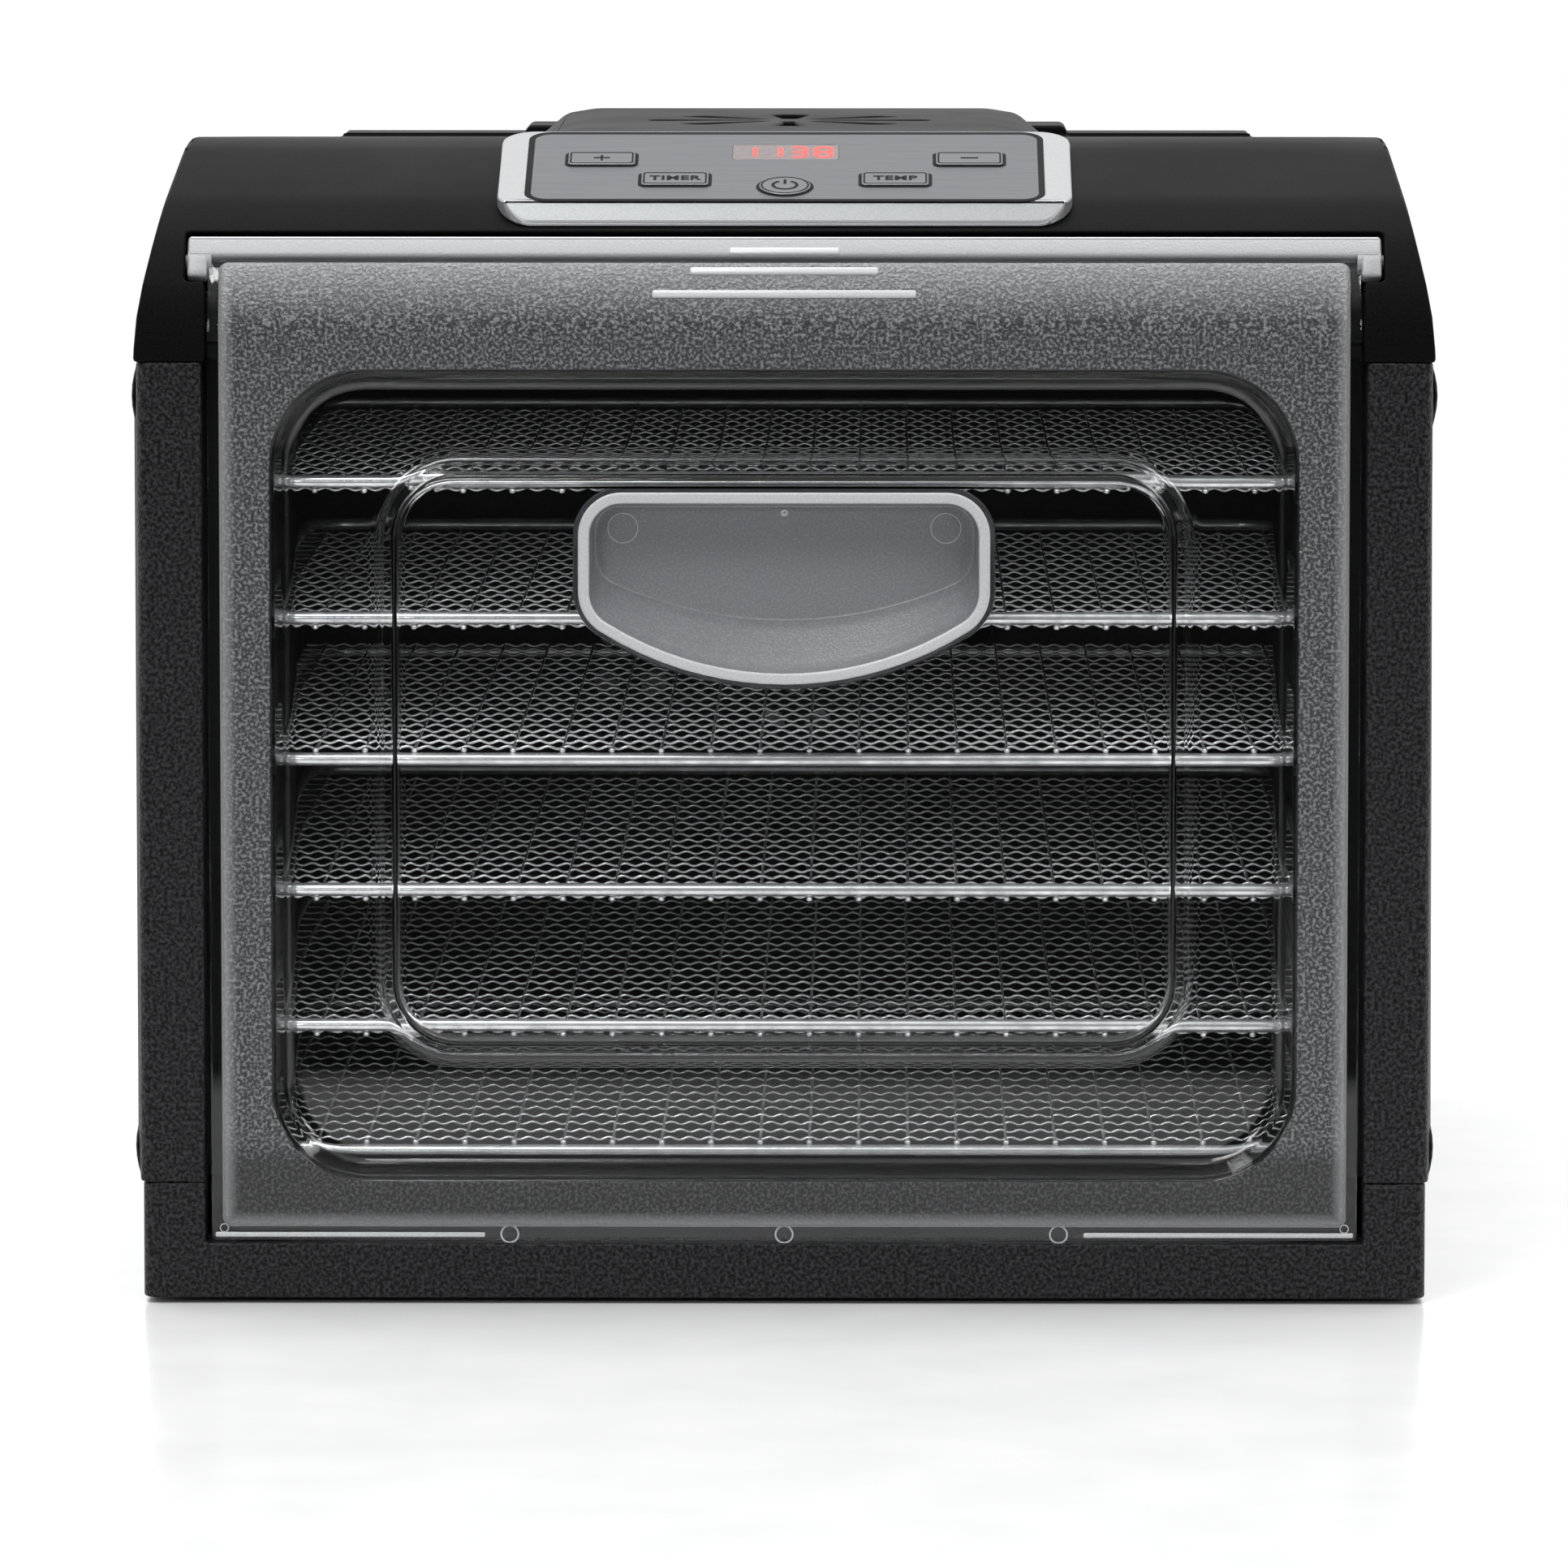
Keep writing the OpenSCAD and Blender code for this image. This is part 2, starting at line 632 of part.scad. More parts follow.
module control_board() color(GREEN) lift() on_slope()
    translate([-overlay_w / 2 + 5.4, overlay_v + 4.4, board_w]) cube([overlay_w - 10.8, overlay_l - 8.8, board_t]);

module key_switches() color(BLACK) lift() on_slope() translate([0, 0, board_w + board_t])
    for (p = [[key_hi_x, row_hi], [-key_hi_x, row_hi], [key_lo_x, row_lo], [-key_lo_x, row_lo], [0, power_v]])
        translate([p[0] - 3, p[1] - 3, 0]) cube([6, 6, switch_h]);

key_bottom = board_w + board_t + switch_h + key_travel + 0.2;
key_top = bezel_t + key_rise;
module key_cap(x, v) color(SILVER) lift() on_slope() translate([x, v, key_bottom])
    linear_extrude(key_top - key_bottom) key_rect(0);

module key_plus() key_cap(-key_hi_x, row_hi);
module key_minus() key_cap(key_hi_x, row_hi);
module key_timer() key_cap(-key_lo_x, row_lo);
module key_temp() key_cap(key_lo_x, row_lo);
module key_power() color(SILVER) lift() on_slope() translate([0, power_v, key_bottom])
    cylinder(r = power_d / 2, h = key_top - key_bottom);

module power_board() color(GREEN) lift() translate([22, 100, ceiling_z + wall + 4]) cube([116, 160, board_t]);

module power_board_parts() color([0.3, 0.3, 0.32]) lift() translate([22, 100, ceiling_z + wall + 4 + board_t]) {
    translate([14, 60, 0]) cube([36, 42, 18]);
    translate([62, 24, 0]) cube([18, 18, 14]);
    translate([72, 80, 0]) cylinder(r = 8, h = 18);
    translate([94, 80, 0]) cylinder(r = 8, h = 18);
    translate([60, 120, 0]) cube([40, 10, 14]);
}

// ---------- door ----------

module window_plan(g) soft_rect([-window_half - g, window_bottom - g], [window_half + g, window_top + g], window_r + g);
module middle_plan(g) soft_rect([-middle_half - g, middle_lo - g], [middle_half + g, middle_hi + g], middle_r + g);
module handle_plan(g) {
    sag = handle_smile;
    reach = handle_w / 2 - 4;
    bow = (pow(reach, 2) + pow(sag, 2)) / (2 * sag);
    intersection() {
        soft_rect([-handle_w / 2 - g, handle_hi - handle_h - g], [handle_w / 2 + g, handle_hi + g], handle_corner + g);
        translate([0, handle_hi - handle_h + bow]) circle(bow + g, $fn = 256);
    }
}

// A band of the rounded top of the door, between two depths and two angles
module arc_band(d0, d1, a0, a1) intersection() {
    translate([nose_r, arc_z]) difference() {
        circle(nose_r - d0, $fn = 128);
        circle(nose_r - d1, $fn = 128);
    }
    translate([nose_r, arc_z]) polygon([[0, 0], 2 * nose_r * [-cos(a0), sin(a0)],
        2 * nose_r * [-cos(a1), sin(a1)]]);
}

function arc_angle(z) = asin((z - arc_z) / nose_r);

module door_panel() color(CLEAR) lift() {
    // clear leaf with the window cut out
    along_y(frame_step, leaf_back) difference() {
        translate([-leaf_half, door_bottom]) square([2 * leaf_half, arc_z - door_bottom]);
        window_plan(0);
    }
    // frosted frame, raised in front of the leaf
    along_y(0, frame_step + eps) difference() {
        translate([-frame_half, frame_bottom]) square([2 * frame_half, arc_z - frame_bottom]);
        window_plan(0);
    }
    // window recess: its walls, its pane and the raised middle
    along_y(0, recess_d) difference() { window_plan(door_t / 2); window_plan(-door_t / 2); }
    along_y(recess_d - door_t, recess_d) difference() { window_plan(0); middle_plan(0); }
    along_y(middle_face, recess_d) difference() { middle_plan(door_t / 2); middle_plan(-door_t / 2); }
    along_y(middle_face, middle_face + door_t) difference() { middle_plan(0); handle_plan(0); }
    // handle pocket
    along_y(middle_face, handle_d) difference() { handle_plan(door_t / 2); handle_plan(-door_t / 2); }
    along_y(handle_d - door_t, handle_d) handle_plan(0);
    // rounded top, frosted below its step, with the thicker hanging strip above it
    along_x(2 * leaf_half) arc_band(frame_step, leaf_back, 0, top_angle);
    along_x(2 * frame_half) arc_band(0, frame_step + eps, 0, arc_angle(hinge_z + 1));
    along_x(2 * leaf_half) arc_band(0, frame_step + eps, arc_angle(hinge_z + 2.2), top_angle);
    // ears and hinge pins
    both_sides() translate([leaf_half + ear_out / 2 - 1, 0, 0]) {
        along_x(ear_out + 2) arc_band(0, leaf_back, arc_angle(seam_h + ear_low), top_angle);
        along_x(ear_out + 2) translate([hinge_y, hinge_z]) circle(hub_r);
    }
    translate([0, hinge_y, hinge_z]) rotate([0, 90, 0])
        both_ends() translate([0, 0, leaf_half - 1]) cylinder(r = pin_r, h = ear_out + pin_reach + 1);
}

module both_ends() { children(); mirror([0, 0, 1]) children(); }

// ---------- trays ----------

// Trays 3 and 6 lie with the mesh on top of the frame wire, the others hang it below
function mesh_up(k) = k % 3 == 0;
function frame_z(k) = rail_z(k) + tray_fit + (mesh_up(k) ? 0 : mesh_t) + frame_wire / 2;
function mesh_z(k) = mesh_up(k) ? frame_z(k) + frame_wire / 2 : frame_z(k) - frame_wire / 2 - mesh_t;

module tray_frame(k) color(STEEL) lift() translate([0, tray_front + tray_d / 2, frame_z(k)]) {
    x = tray_half;
    y = tray_d / 2 - frame_wire / 2;
    for (s = [-1, 1]) {
        translate([s * x, -y + tray_r, 0]) rotate([-90, 0, 0]) cylinder(d = frame_wire, h = 2 * (y - tray_r));
        translate([-x + tray_r, s * y, 0]) rotate([0, 90, 0]) cylinder(d = frame_wire, h = 2 * (x - tray_r));
        translate([s * (x - tray_r), y - tray_r, 0]) rotate([0, 0, s > 0 ? 0 : 90]) frame_corner();
        translate([s * (x - tray_r), -y + tray_r, 0]) rotate([0, 0, s > 0 ? 270 : 180]) frame_corner();
    }
}

module frame_corner() rotate_extrude(angle = 90) translate([tray_r, 0]) circle(d = frame_wire, $fn = 32);

mesh_columns = 5;
module tray_mesh(k) color(STEEL) lift() translate([0, tray_front + tray_d / 2, mesh_z(k)])
    linear_extrude(mesh_t) difference() {
        x = tray_half;
        y = tray_d / 2 - frame_wire / 2;
        rows = floor(2 * (y - 4) / mesh_pitch);
        cell = 2 * (x - 4) / mesh_columns;
        soft_rect([-x, -y], [x, y], tray_r);
        for (row = [0:rows - 1]) for (column = [0:mesh_columns - 1])
            translate([-x + 4 + column * cell + mesh_t, (row - rows / 2) * mesh_pitch + mesh_t / 2])
                square([cell - 2 * mesh_t, mesh_pitch - mesh_t]);
    }

module tray_1_frame() tray_frame(1);
module tray_2_frame() tray_frame(2);
module tray_3_frame() tray_frame(3);
module tray_4_frame() tray_frame(4);
module tray_5_frame() tray_frame(5);
module tray_6_frame() tray_frame(6);
module tray_1_mesh() tray_mesh(1);
module tray_2_mesh() tray_mesh(2);
module tray_3_mesh() tray_mesh(3);
module tray_4_mesh() tray_mesh(4);
module tray_5_mesh() tray_mesh(5);
module tray_6_mesh() tray_mesh(6);

base_tub();
left_side_panel();
right_side_panel();
top_cover();
rear_cover();
chamber_wall_left();
chamber_wall_right();
chamber_ceiling();
fan_bulkhead();
fan_shroud();
heater_pads();
heater_ring();
thermal_cutoff();
temperature_probe();
motor_bracket();
motor_body();
motor_screws();
fan_shaft();
fan_blades();
fan_nut();
top_vent_grille();
control_bezel();
control_overlay();
display_lens();
display_module();
control_board();
key_switches();
power_board();
power_board_parts();
power_inlet();
inlet_pins();
rubber_feet();
cover_screws();
door_panel();
key_plus();
key_minus();
key_timer();
key_temp();
key_power();
tray_1_frame();
tray_1_mesh();
tray_2_frame();
tray_2_mesh();
tray_3_frame();
tray_3_mesh();
tray_4_frame();
tray_4_mesh();
tray_5_frame();
tray_5_mesh();
tray_6_frame();
tray_6_mesh();
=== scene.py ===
"""Looks of a front-loading food dehydrator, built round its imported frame.

Sizes are in millimetres in the maker's own frame: X runs right from the middle, Y back from the
front face and Z up from the lower edge of the base. Shell.at() turns them into the row frame.
"""

import logging
import math
from contextlib import contextmanager
from dataclasses import dataclass
from enum import Enum
from typing import Any, Callable, Iterator, Optional, Sequence

import bmesh
import bpy
from mathutils import Matrix, Vector


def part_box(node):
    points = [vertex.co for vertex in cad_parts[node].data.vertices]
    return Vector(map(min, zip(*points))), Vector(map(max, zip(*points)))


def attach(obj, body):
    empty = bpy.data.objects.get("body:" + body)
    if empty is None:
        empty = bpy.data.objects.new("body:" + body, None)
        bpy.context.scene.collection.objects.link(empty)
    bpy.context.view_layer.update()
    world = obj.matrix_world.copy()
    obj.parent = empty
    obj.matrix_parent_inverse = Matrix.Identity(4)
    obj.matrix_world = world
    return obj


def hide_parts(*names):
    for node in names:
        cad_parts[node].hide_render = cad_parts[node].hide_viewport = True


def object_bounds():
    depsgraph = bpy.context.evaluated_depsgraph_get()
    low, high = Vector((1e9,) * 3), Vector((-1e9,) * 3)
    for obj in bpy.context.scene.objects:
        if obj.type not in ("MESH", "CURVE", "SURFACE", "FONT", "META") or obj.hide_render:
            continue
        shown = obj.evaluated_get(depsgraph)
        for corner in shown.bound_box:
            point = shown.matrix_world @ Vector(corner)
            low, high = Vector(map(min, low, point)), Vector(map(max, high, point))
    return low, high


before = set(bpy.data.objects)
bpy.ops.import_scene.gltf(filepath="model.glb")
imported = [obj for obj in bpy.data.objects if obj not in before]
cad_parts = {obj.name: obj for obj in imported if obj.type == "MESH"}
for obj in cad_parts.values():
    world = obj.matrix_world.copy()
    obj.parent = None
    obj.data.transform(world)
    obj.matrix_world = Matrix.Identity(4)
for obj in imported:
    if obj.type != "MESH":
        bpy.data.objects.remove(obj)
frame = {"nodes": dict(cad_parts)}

CAD_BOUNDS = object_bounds()
log = logging.getLogger("dehydrator")

MM = 0.001
# Name of the attribute that holds the painted light along the door frame's edges.
PAINTED_EDGE_LIGHT = "edge_glow"
MERGE_DIST = 1e-6
DEFAULT_CRISP = 32.0
Point = tuple[float, float, float]
Flat = tuple[float, float]
Ring = list[Point]
Piece = bpy.types.Object
Mesh = bpy.types.Mesh
WorkMesh = bmesh.types.BMesh
Material = bpy.types.Material
Tree = bpy.types.NodeTree
Node = bpy.types.Node
Socket = bpy.types.NodeSocket


# ---------------------------------------------------------------------------
# Colour and node helpers
# ---------------------------------------------------------------------------


def linear(code: str, alpha: float = 1.0) -> tuple[float, float, float, float]:
    """Turn an sRGB hex code into a linear colour.

    Args:
        code: six hex digits, such as "1a1a1b".
        alpha: the fourth channel.

    Returns:
        Red, green, blue and alpha, in linear light.
    """
    channels = [int(code[i : i + 2], 16) / 255 for i in (0, 2, 4)]
    red, green, blue = (
        c / 12.92 if c <= 0.04045 else ((c + 0.055) / 1.055) ** 2.4 for c in channels
    )
    return red, green, blue, alpha


def add_node(tree: Tree, kind: str, inputs: Optional[dict] = None, **settings: Any) -> Node:
    """Add a node with its settings, values and links.

    Args:
        tree: the node tree that gets the node.
        kind: the node's type name.
        inputs: socket name or index to a value or to an output socket.
        **settings: attributes of the node.

    Returns:
        The new node.
    """
    node = tree.nodes.new(kind)
    for name, value in settings.items():
        setattr(node, name, value)
    for name, value in (inputs or {}).items():
        if isinstance(value, Socket):
            tree.links.new(value, node.inputs[name])
        else:
            node.inputs[name].default_value = value
    return node


def ramp(
    tree: Tree, value: Socket, first: float, last: float, start: float = 0.0, end: float = 1.0
) -> Socket:
    """Map the stretch of a value between first and last onto start to end."""
    inputs = {"Value": value, 1: first, 2: last, 3: start, 4: end}
    return add_node(tree, "ShaderNodeMapRange", inputs).outputs[0]


def place_along(tree: Tree, axis: str, system: str = "Object") -> Socket:
    """Give the shaded point's place along one axis of a coordinate system."""
    place = add_node(tree, "ShaderNodeTexCoord")
    return add_node(tree, "ShaderNodeSeparateXYZ", {0: place.outputs[system]}).outputs[axis]


def lay_colour(tree: Tree, shader: Node, share: Socket, code: str) -> None:
    """Mix a share of another colour over the shader's base colour."""
    base = shader.inputs["Base Color"]
    here = base.links[0].from_socket if base.is_linked else tuple(base.default_value)
    inputs = {0: share, 6: here, 7: linear(code)}
    mix = add_node(tree, "ShaderNodeMix", inputs, data_type="RGBA")
    tree.links.new(mix.outputs[2], base)


# ---------------------------------------------------------------------------
# Finishes
# ---------------------------------------------------------------------------


@dataclass(frozen=True)
class Finish:
    """A surface finish: what it is made of and how it was made."""

    name: str
    colour: str
    roughness: float = 0.5
    metallic: float = 0.0
    gloss: float = 0.5

    def build(self) -> Material:
        """Make the material.

        Returns:
            The finished material.
        """
        material = bpy.data.materials.new(self.name)
        material.use_nodes = True
        tree = material.node_tree
        tree.nodes.clear()
        shader = add_node(
            tree,
            "ShaderNodeBsdfPrincipled",
            {
                "Base Color": linear(self.colour),
                "Roughness": self.roughness,
                "Metallic": self.metallic,
                "Specular IOR Level": self.gloss,
            },
        )
        self.dress(tree, shader)
        add_node(tree, "ShaderNodeOutputMaterial", {"Surface": self.surface(tree, shader)})
        return material

    def dress(self, tree: Tree, shader: Node) -> None:
        """Add the pattern that this finish shows."""

    def surface(self, tree: Tree, shader: Node) -> Socket:
        """Give the socket that the material shows."""
        return shader.outputs[0]

    @staticmethod
    def noise(
        tree: Tree, size_mm: float, detail: float = 2.0, stretch: Point = (1.0, 1.0, 1.0)
    ) -> Socket:
        """Add noise in object space.

        Args:
            tree: the material's tree.
            size_mm: the size of one blotch.
            detail: octaves of finer noise.
            stretch: how much longer a blotch is along each axis.

        Returns:
            The noise value's socket.
        """
        place = add_node(tree, "ShaderNodeTexCoord")
        scale = tuple(1.0 / s for s in stretch)
        mapping = {"Vector": place.outputs["Object"], "Scale": scale}
        turned = add_node(tree, "ShaderNodeMapping", mapping)
        inputs = {
            "Vector": turned.outputs[0],
            "Scale": 1.0 / (size_mm * MM),
            "Detail": detail,
            "Roughness": 0.55,
        }
        return add_node(tree, "ShaderNodeTexNoise", inputs).outputs["Fac"]

    @staticmethod
    def vary_roughness(tree: Tree, shader: Node, value: Socket, low: float, high: float) -> None:
        """Let the middle half of a noise value drive the roughness from low to high."""
        tree.links.new(ramp(tree, value, 0.25, 0.75, low, high), shader.inputs["Roughness"])

    def mottle(
        self,
        tree: Tree,
        shader: Node,
        value: Socket,
        other: str,
        band: float = 0.5,
        middle: float = 0.5,
    ) -> None:
        """Vary the base colour between this finish's colour and another one.

        Args:
            tree: the material's tree.
            shader: the shader whose base colour varies.
            value: the noise that drives it.
            other: the other colour's code.
            band: how much of the noise's range the change takes.
            middle: the noise value halfway between the two colours.
        """
        share = ramp(tree, value, middle - band / 2, middle + band / 2)
        lay_colour(tree, shader, share, other)

    @staticmethod
    def relief(tree: Tree, shader: Node, value: Socket, depth_mm: float) -> None:
        """Raise the surface by a value, to a depth in millimetres."""
        inputs = {"Height": value, "Distance": depth_mm * MM, "Strength": 1.0}
        bump = add_node(tree, "ShaderNodeBump", inputs)
        tree.links.new(bump.outputs[0], shader.inputs["Normal"])


@dataclass(frozen=True)
class MouldedPlastic(Finish):
    """Plastic from a textured mould, with the fine pebbled grain of a spark-eroded tool."""

    fleck: str = "2b2b2d"
    grain_mm: float = 0.9
    grain_depth_mm: float = 0.10
    handling: float = 0.08
    fleck_level: float = 0.5
    drift_mm: float = 60.0

    def dress(self, tree: Tree, shader: Node) -> None:
        """Add the grain, and roughness that drifts as a handled surface's does."""
        grain = self.noise(tree, self.grain_mm, detail=1.5)
        self.mottle(tree, shader, grain, self.fleck, 0.3, self.fleck_level)
        self.relief(tree, shader, grain, self.grain_depth_mm)
        drift = self.noise(tree, self.drift_mm, detail=3.0)
        low, high = self.roughness - self.handling, self.roughness + self.handling
        self.vary_roughness(tree, shader, drift, low, high)


@dataclass(frozen=True)
class ClearMoulding(Finish):
    """Polished clear polycarbonate: sharp reflections, and light from lamps comes through it."""

    tint: str = "f2f5f6"
    index: float = 1.42

    def dress(self, tree: Tree, shader: Node) -> None:
        """Make it transmit light. The index is a little low, for a calmer reflection."""
        shader.inputs["Transmission Weight"].default_value = 1.0
        shader.inputs["IOR"].default_value = self.index

    def surface(self, tree: Tree, shader: Node) -> Socket:
        """Let shadow rays straight through."""
        path = add_node(tree, "ShaderNodeLightPath")
        clear = add_node(tree, "ShaderNodeBsdfTransparent", {"Color": linear(self.tint)})
        inputs = {0: path.outputs["Is Shadow Ray"], 1: shader.outputs[0], 2: clear.outputs[0]}
        return add_node(tree, "ShaderNodeMixShader", inputs).outputs[0]


@dataclass(frozen=True)
class FrostingWithPaintedLight(Finish):
    """The same polycarbonate where the mould was blasted: milky, with a sparkling fine grain.

    The pale flecks on the grain's tops are partly the milky tone and partly painted sparkle. The
    colour darkens below the sill, as painted shade where the dark base behind shows through, and
    lightens above the brow, as painted light from above on the rounded top, both heights in metres
    in the row frame; it also lightens towards the raised frame's edges, as painted light, by the
    stored edge attribute.
    """

    fleck: str = "c2c5c8"
    clearness: float = 0.35
    grain_mm: float = 0.8
    grain_depth_mm: float = 0.1
    # rim: the colour of the painted light on the brow and along the edges.
    rim: str = "c4c6c8"
    fleck_level: float = 0.56
    # Heights, fades and shares of the painted shade below the sill, in the dark colour, and of the
    # painted light above the brow.
    sill: float = 0.044
    brow: float = 0.262
    dark: str = "040405"
    index: float = 1.585
    sill_fade: float = 0.006
    sill_share: float = 0.72
    brow_fade: float = 0.02
    brow_share: float = 0.6

    def dress(self, tree: Tree, shader: Node) -> None:
        """Add the blasted grain, the painted shade under the sill and the painted light on the brow
        and edges.
        """
        shader.inputs["Transmission Weight"].default_value = self.clearness
        shader.inputs["IOR"].default_value = self.index
        grain = self.noise(tree, self.grain_mm, detail=1.5)
        self.mottle(tree, shader, grain, self.fleck, 0.2, self.fleck_level)
        self.relief(tree, shader, grain, self.grain_depth_mm)
        # Painted shade below the sill, and painted light above the brow and along the frame's
        # edges, mixed into the base colour.
        height = place_along(tree, "Z")
        low = ramp(tree, height, self.sill, self.sill - self.sill_fade, end=self.sill_share)
        high = ramp(tree, height, self.brow, self.brow + self.brow_fade, end=self.brow_share)
        edge = add_node(tree, "ShaderNodeAttribute", attribute_name=PAINTED_EDGE_LIGHT).outputs["Fac"]
        for share, shade in ((low, self.dark), (high, self.rim), (edge, self.rim)):
            lay_colour(tree, shader, share, shade)


@dataclass(frozen=True)
class MetallicLacquer(Finish):
    """Silver lacquer on a moulding, with fine aluminium flakes under a clear coat."""

    flake: str = "a6a8a9"
    flake_mm: float = 0.35
    depth_mm: float = 0.01
    coat: float = 0.3
    coat_roughness: float = 0.25

    def dress(self, tree: Tree, shader: Node) -> None:
        """Add the flakes and the clear coat."""
        flakes = self.noise(tree, self.flake_mm, detail=0.0)
        self.mottle(tree, shader, flakes, self.flake, 0.3)
        self.relief(tree, shader, flakes, self.depth_mm)
        shader.inputs["Coat Weight"].default_value = self.coat
        shader.inputs["Coat Roughness"].default_value = self.coat_roughness


@dataclass(frozen=True)
class BrushedSheet(Finish):
    """Sheet metal brushed along X: short bright and dark streaks, a few tenths apart."""

    streak: str = "8d8f91"
    depth_mm: float = 0.01
    streak_mm: float = 0.35
    streak_length: float = 70.0

    def dress(self, tree: Tree, shader: Node) -> None:
        """Add streaks of colour, roughness and relief along the brushing."""
        stretch = (self.streak_length, 1.0, 1.0)
        streaks = self.noise(tree, self.streak_mm, detail=3.0, stretch=stretch)
        self.mottle(tree, shader, streaks, self.streak, 0.5)
        low, high = self.roughness - 0.06, self.roughness + 0.08
        self.vary_roughness(tree, shader, streaks, low, high)
        self.relief(tree, shader, streaks, self.depth_mm)


@dataclass(frozen=True)
class PlatedMetal(Finish):
    """Plated or drawn metal: even, with a faint cloudiness from handling and the drawing die."""

    cloud: str = "b4b6b8"
    cloud_mm: float = 6.0

    def dress(self, tree: Tree, shader: Node) -> None:
        """Add the cloudiness."""
        cloud = self.noise(tree, self.cloud_mm, detail=3.0)
        self.mottle(tree, shader, cloud, self.cloud, 0.6)
        low, high = self.roughness * 0.8, self.roughness * 1.3
        self.vary_roughness(tree, shader, cloud, low, high)


@dataclass(frozen=True)
class LitSegment(Finish):
    """A display segment that glows through the smoked window."""

    strength: float = 3.0

    def dress(self, tree: Tree, shader: Node) -> None:
        """Make it glow in its own colour."""
        shader.inputs["Emission Color"].default_value = linear(self.colour)
        shader.inputs["Emission Strength"].default_value = self.strength


@dataclass(frozen=True)
class StudioBoardWithPaintedShade(MouldedPlastic):
    """A pale board that turns dark between two depths, in metres in the row frame: painted shade
    for the unlit room in front, which the clear door reflects.
    """

    dark: str = "0c0c0c"
    last_light: float = -0.64
    first_dark: float = -0.7

    def dress(self, tree: Tree, shader: Node) -> None:
        """Darken the board from there on towards the front, as painted shade."""
        super().dress(tree, shader)
        fade = ramp(tree, place_along(tree, "Y"), self.last_light, self.first_dark)
        lay_colour(tree, shader, fade, self.dark)


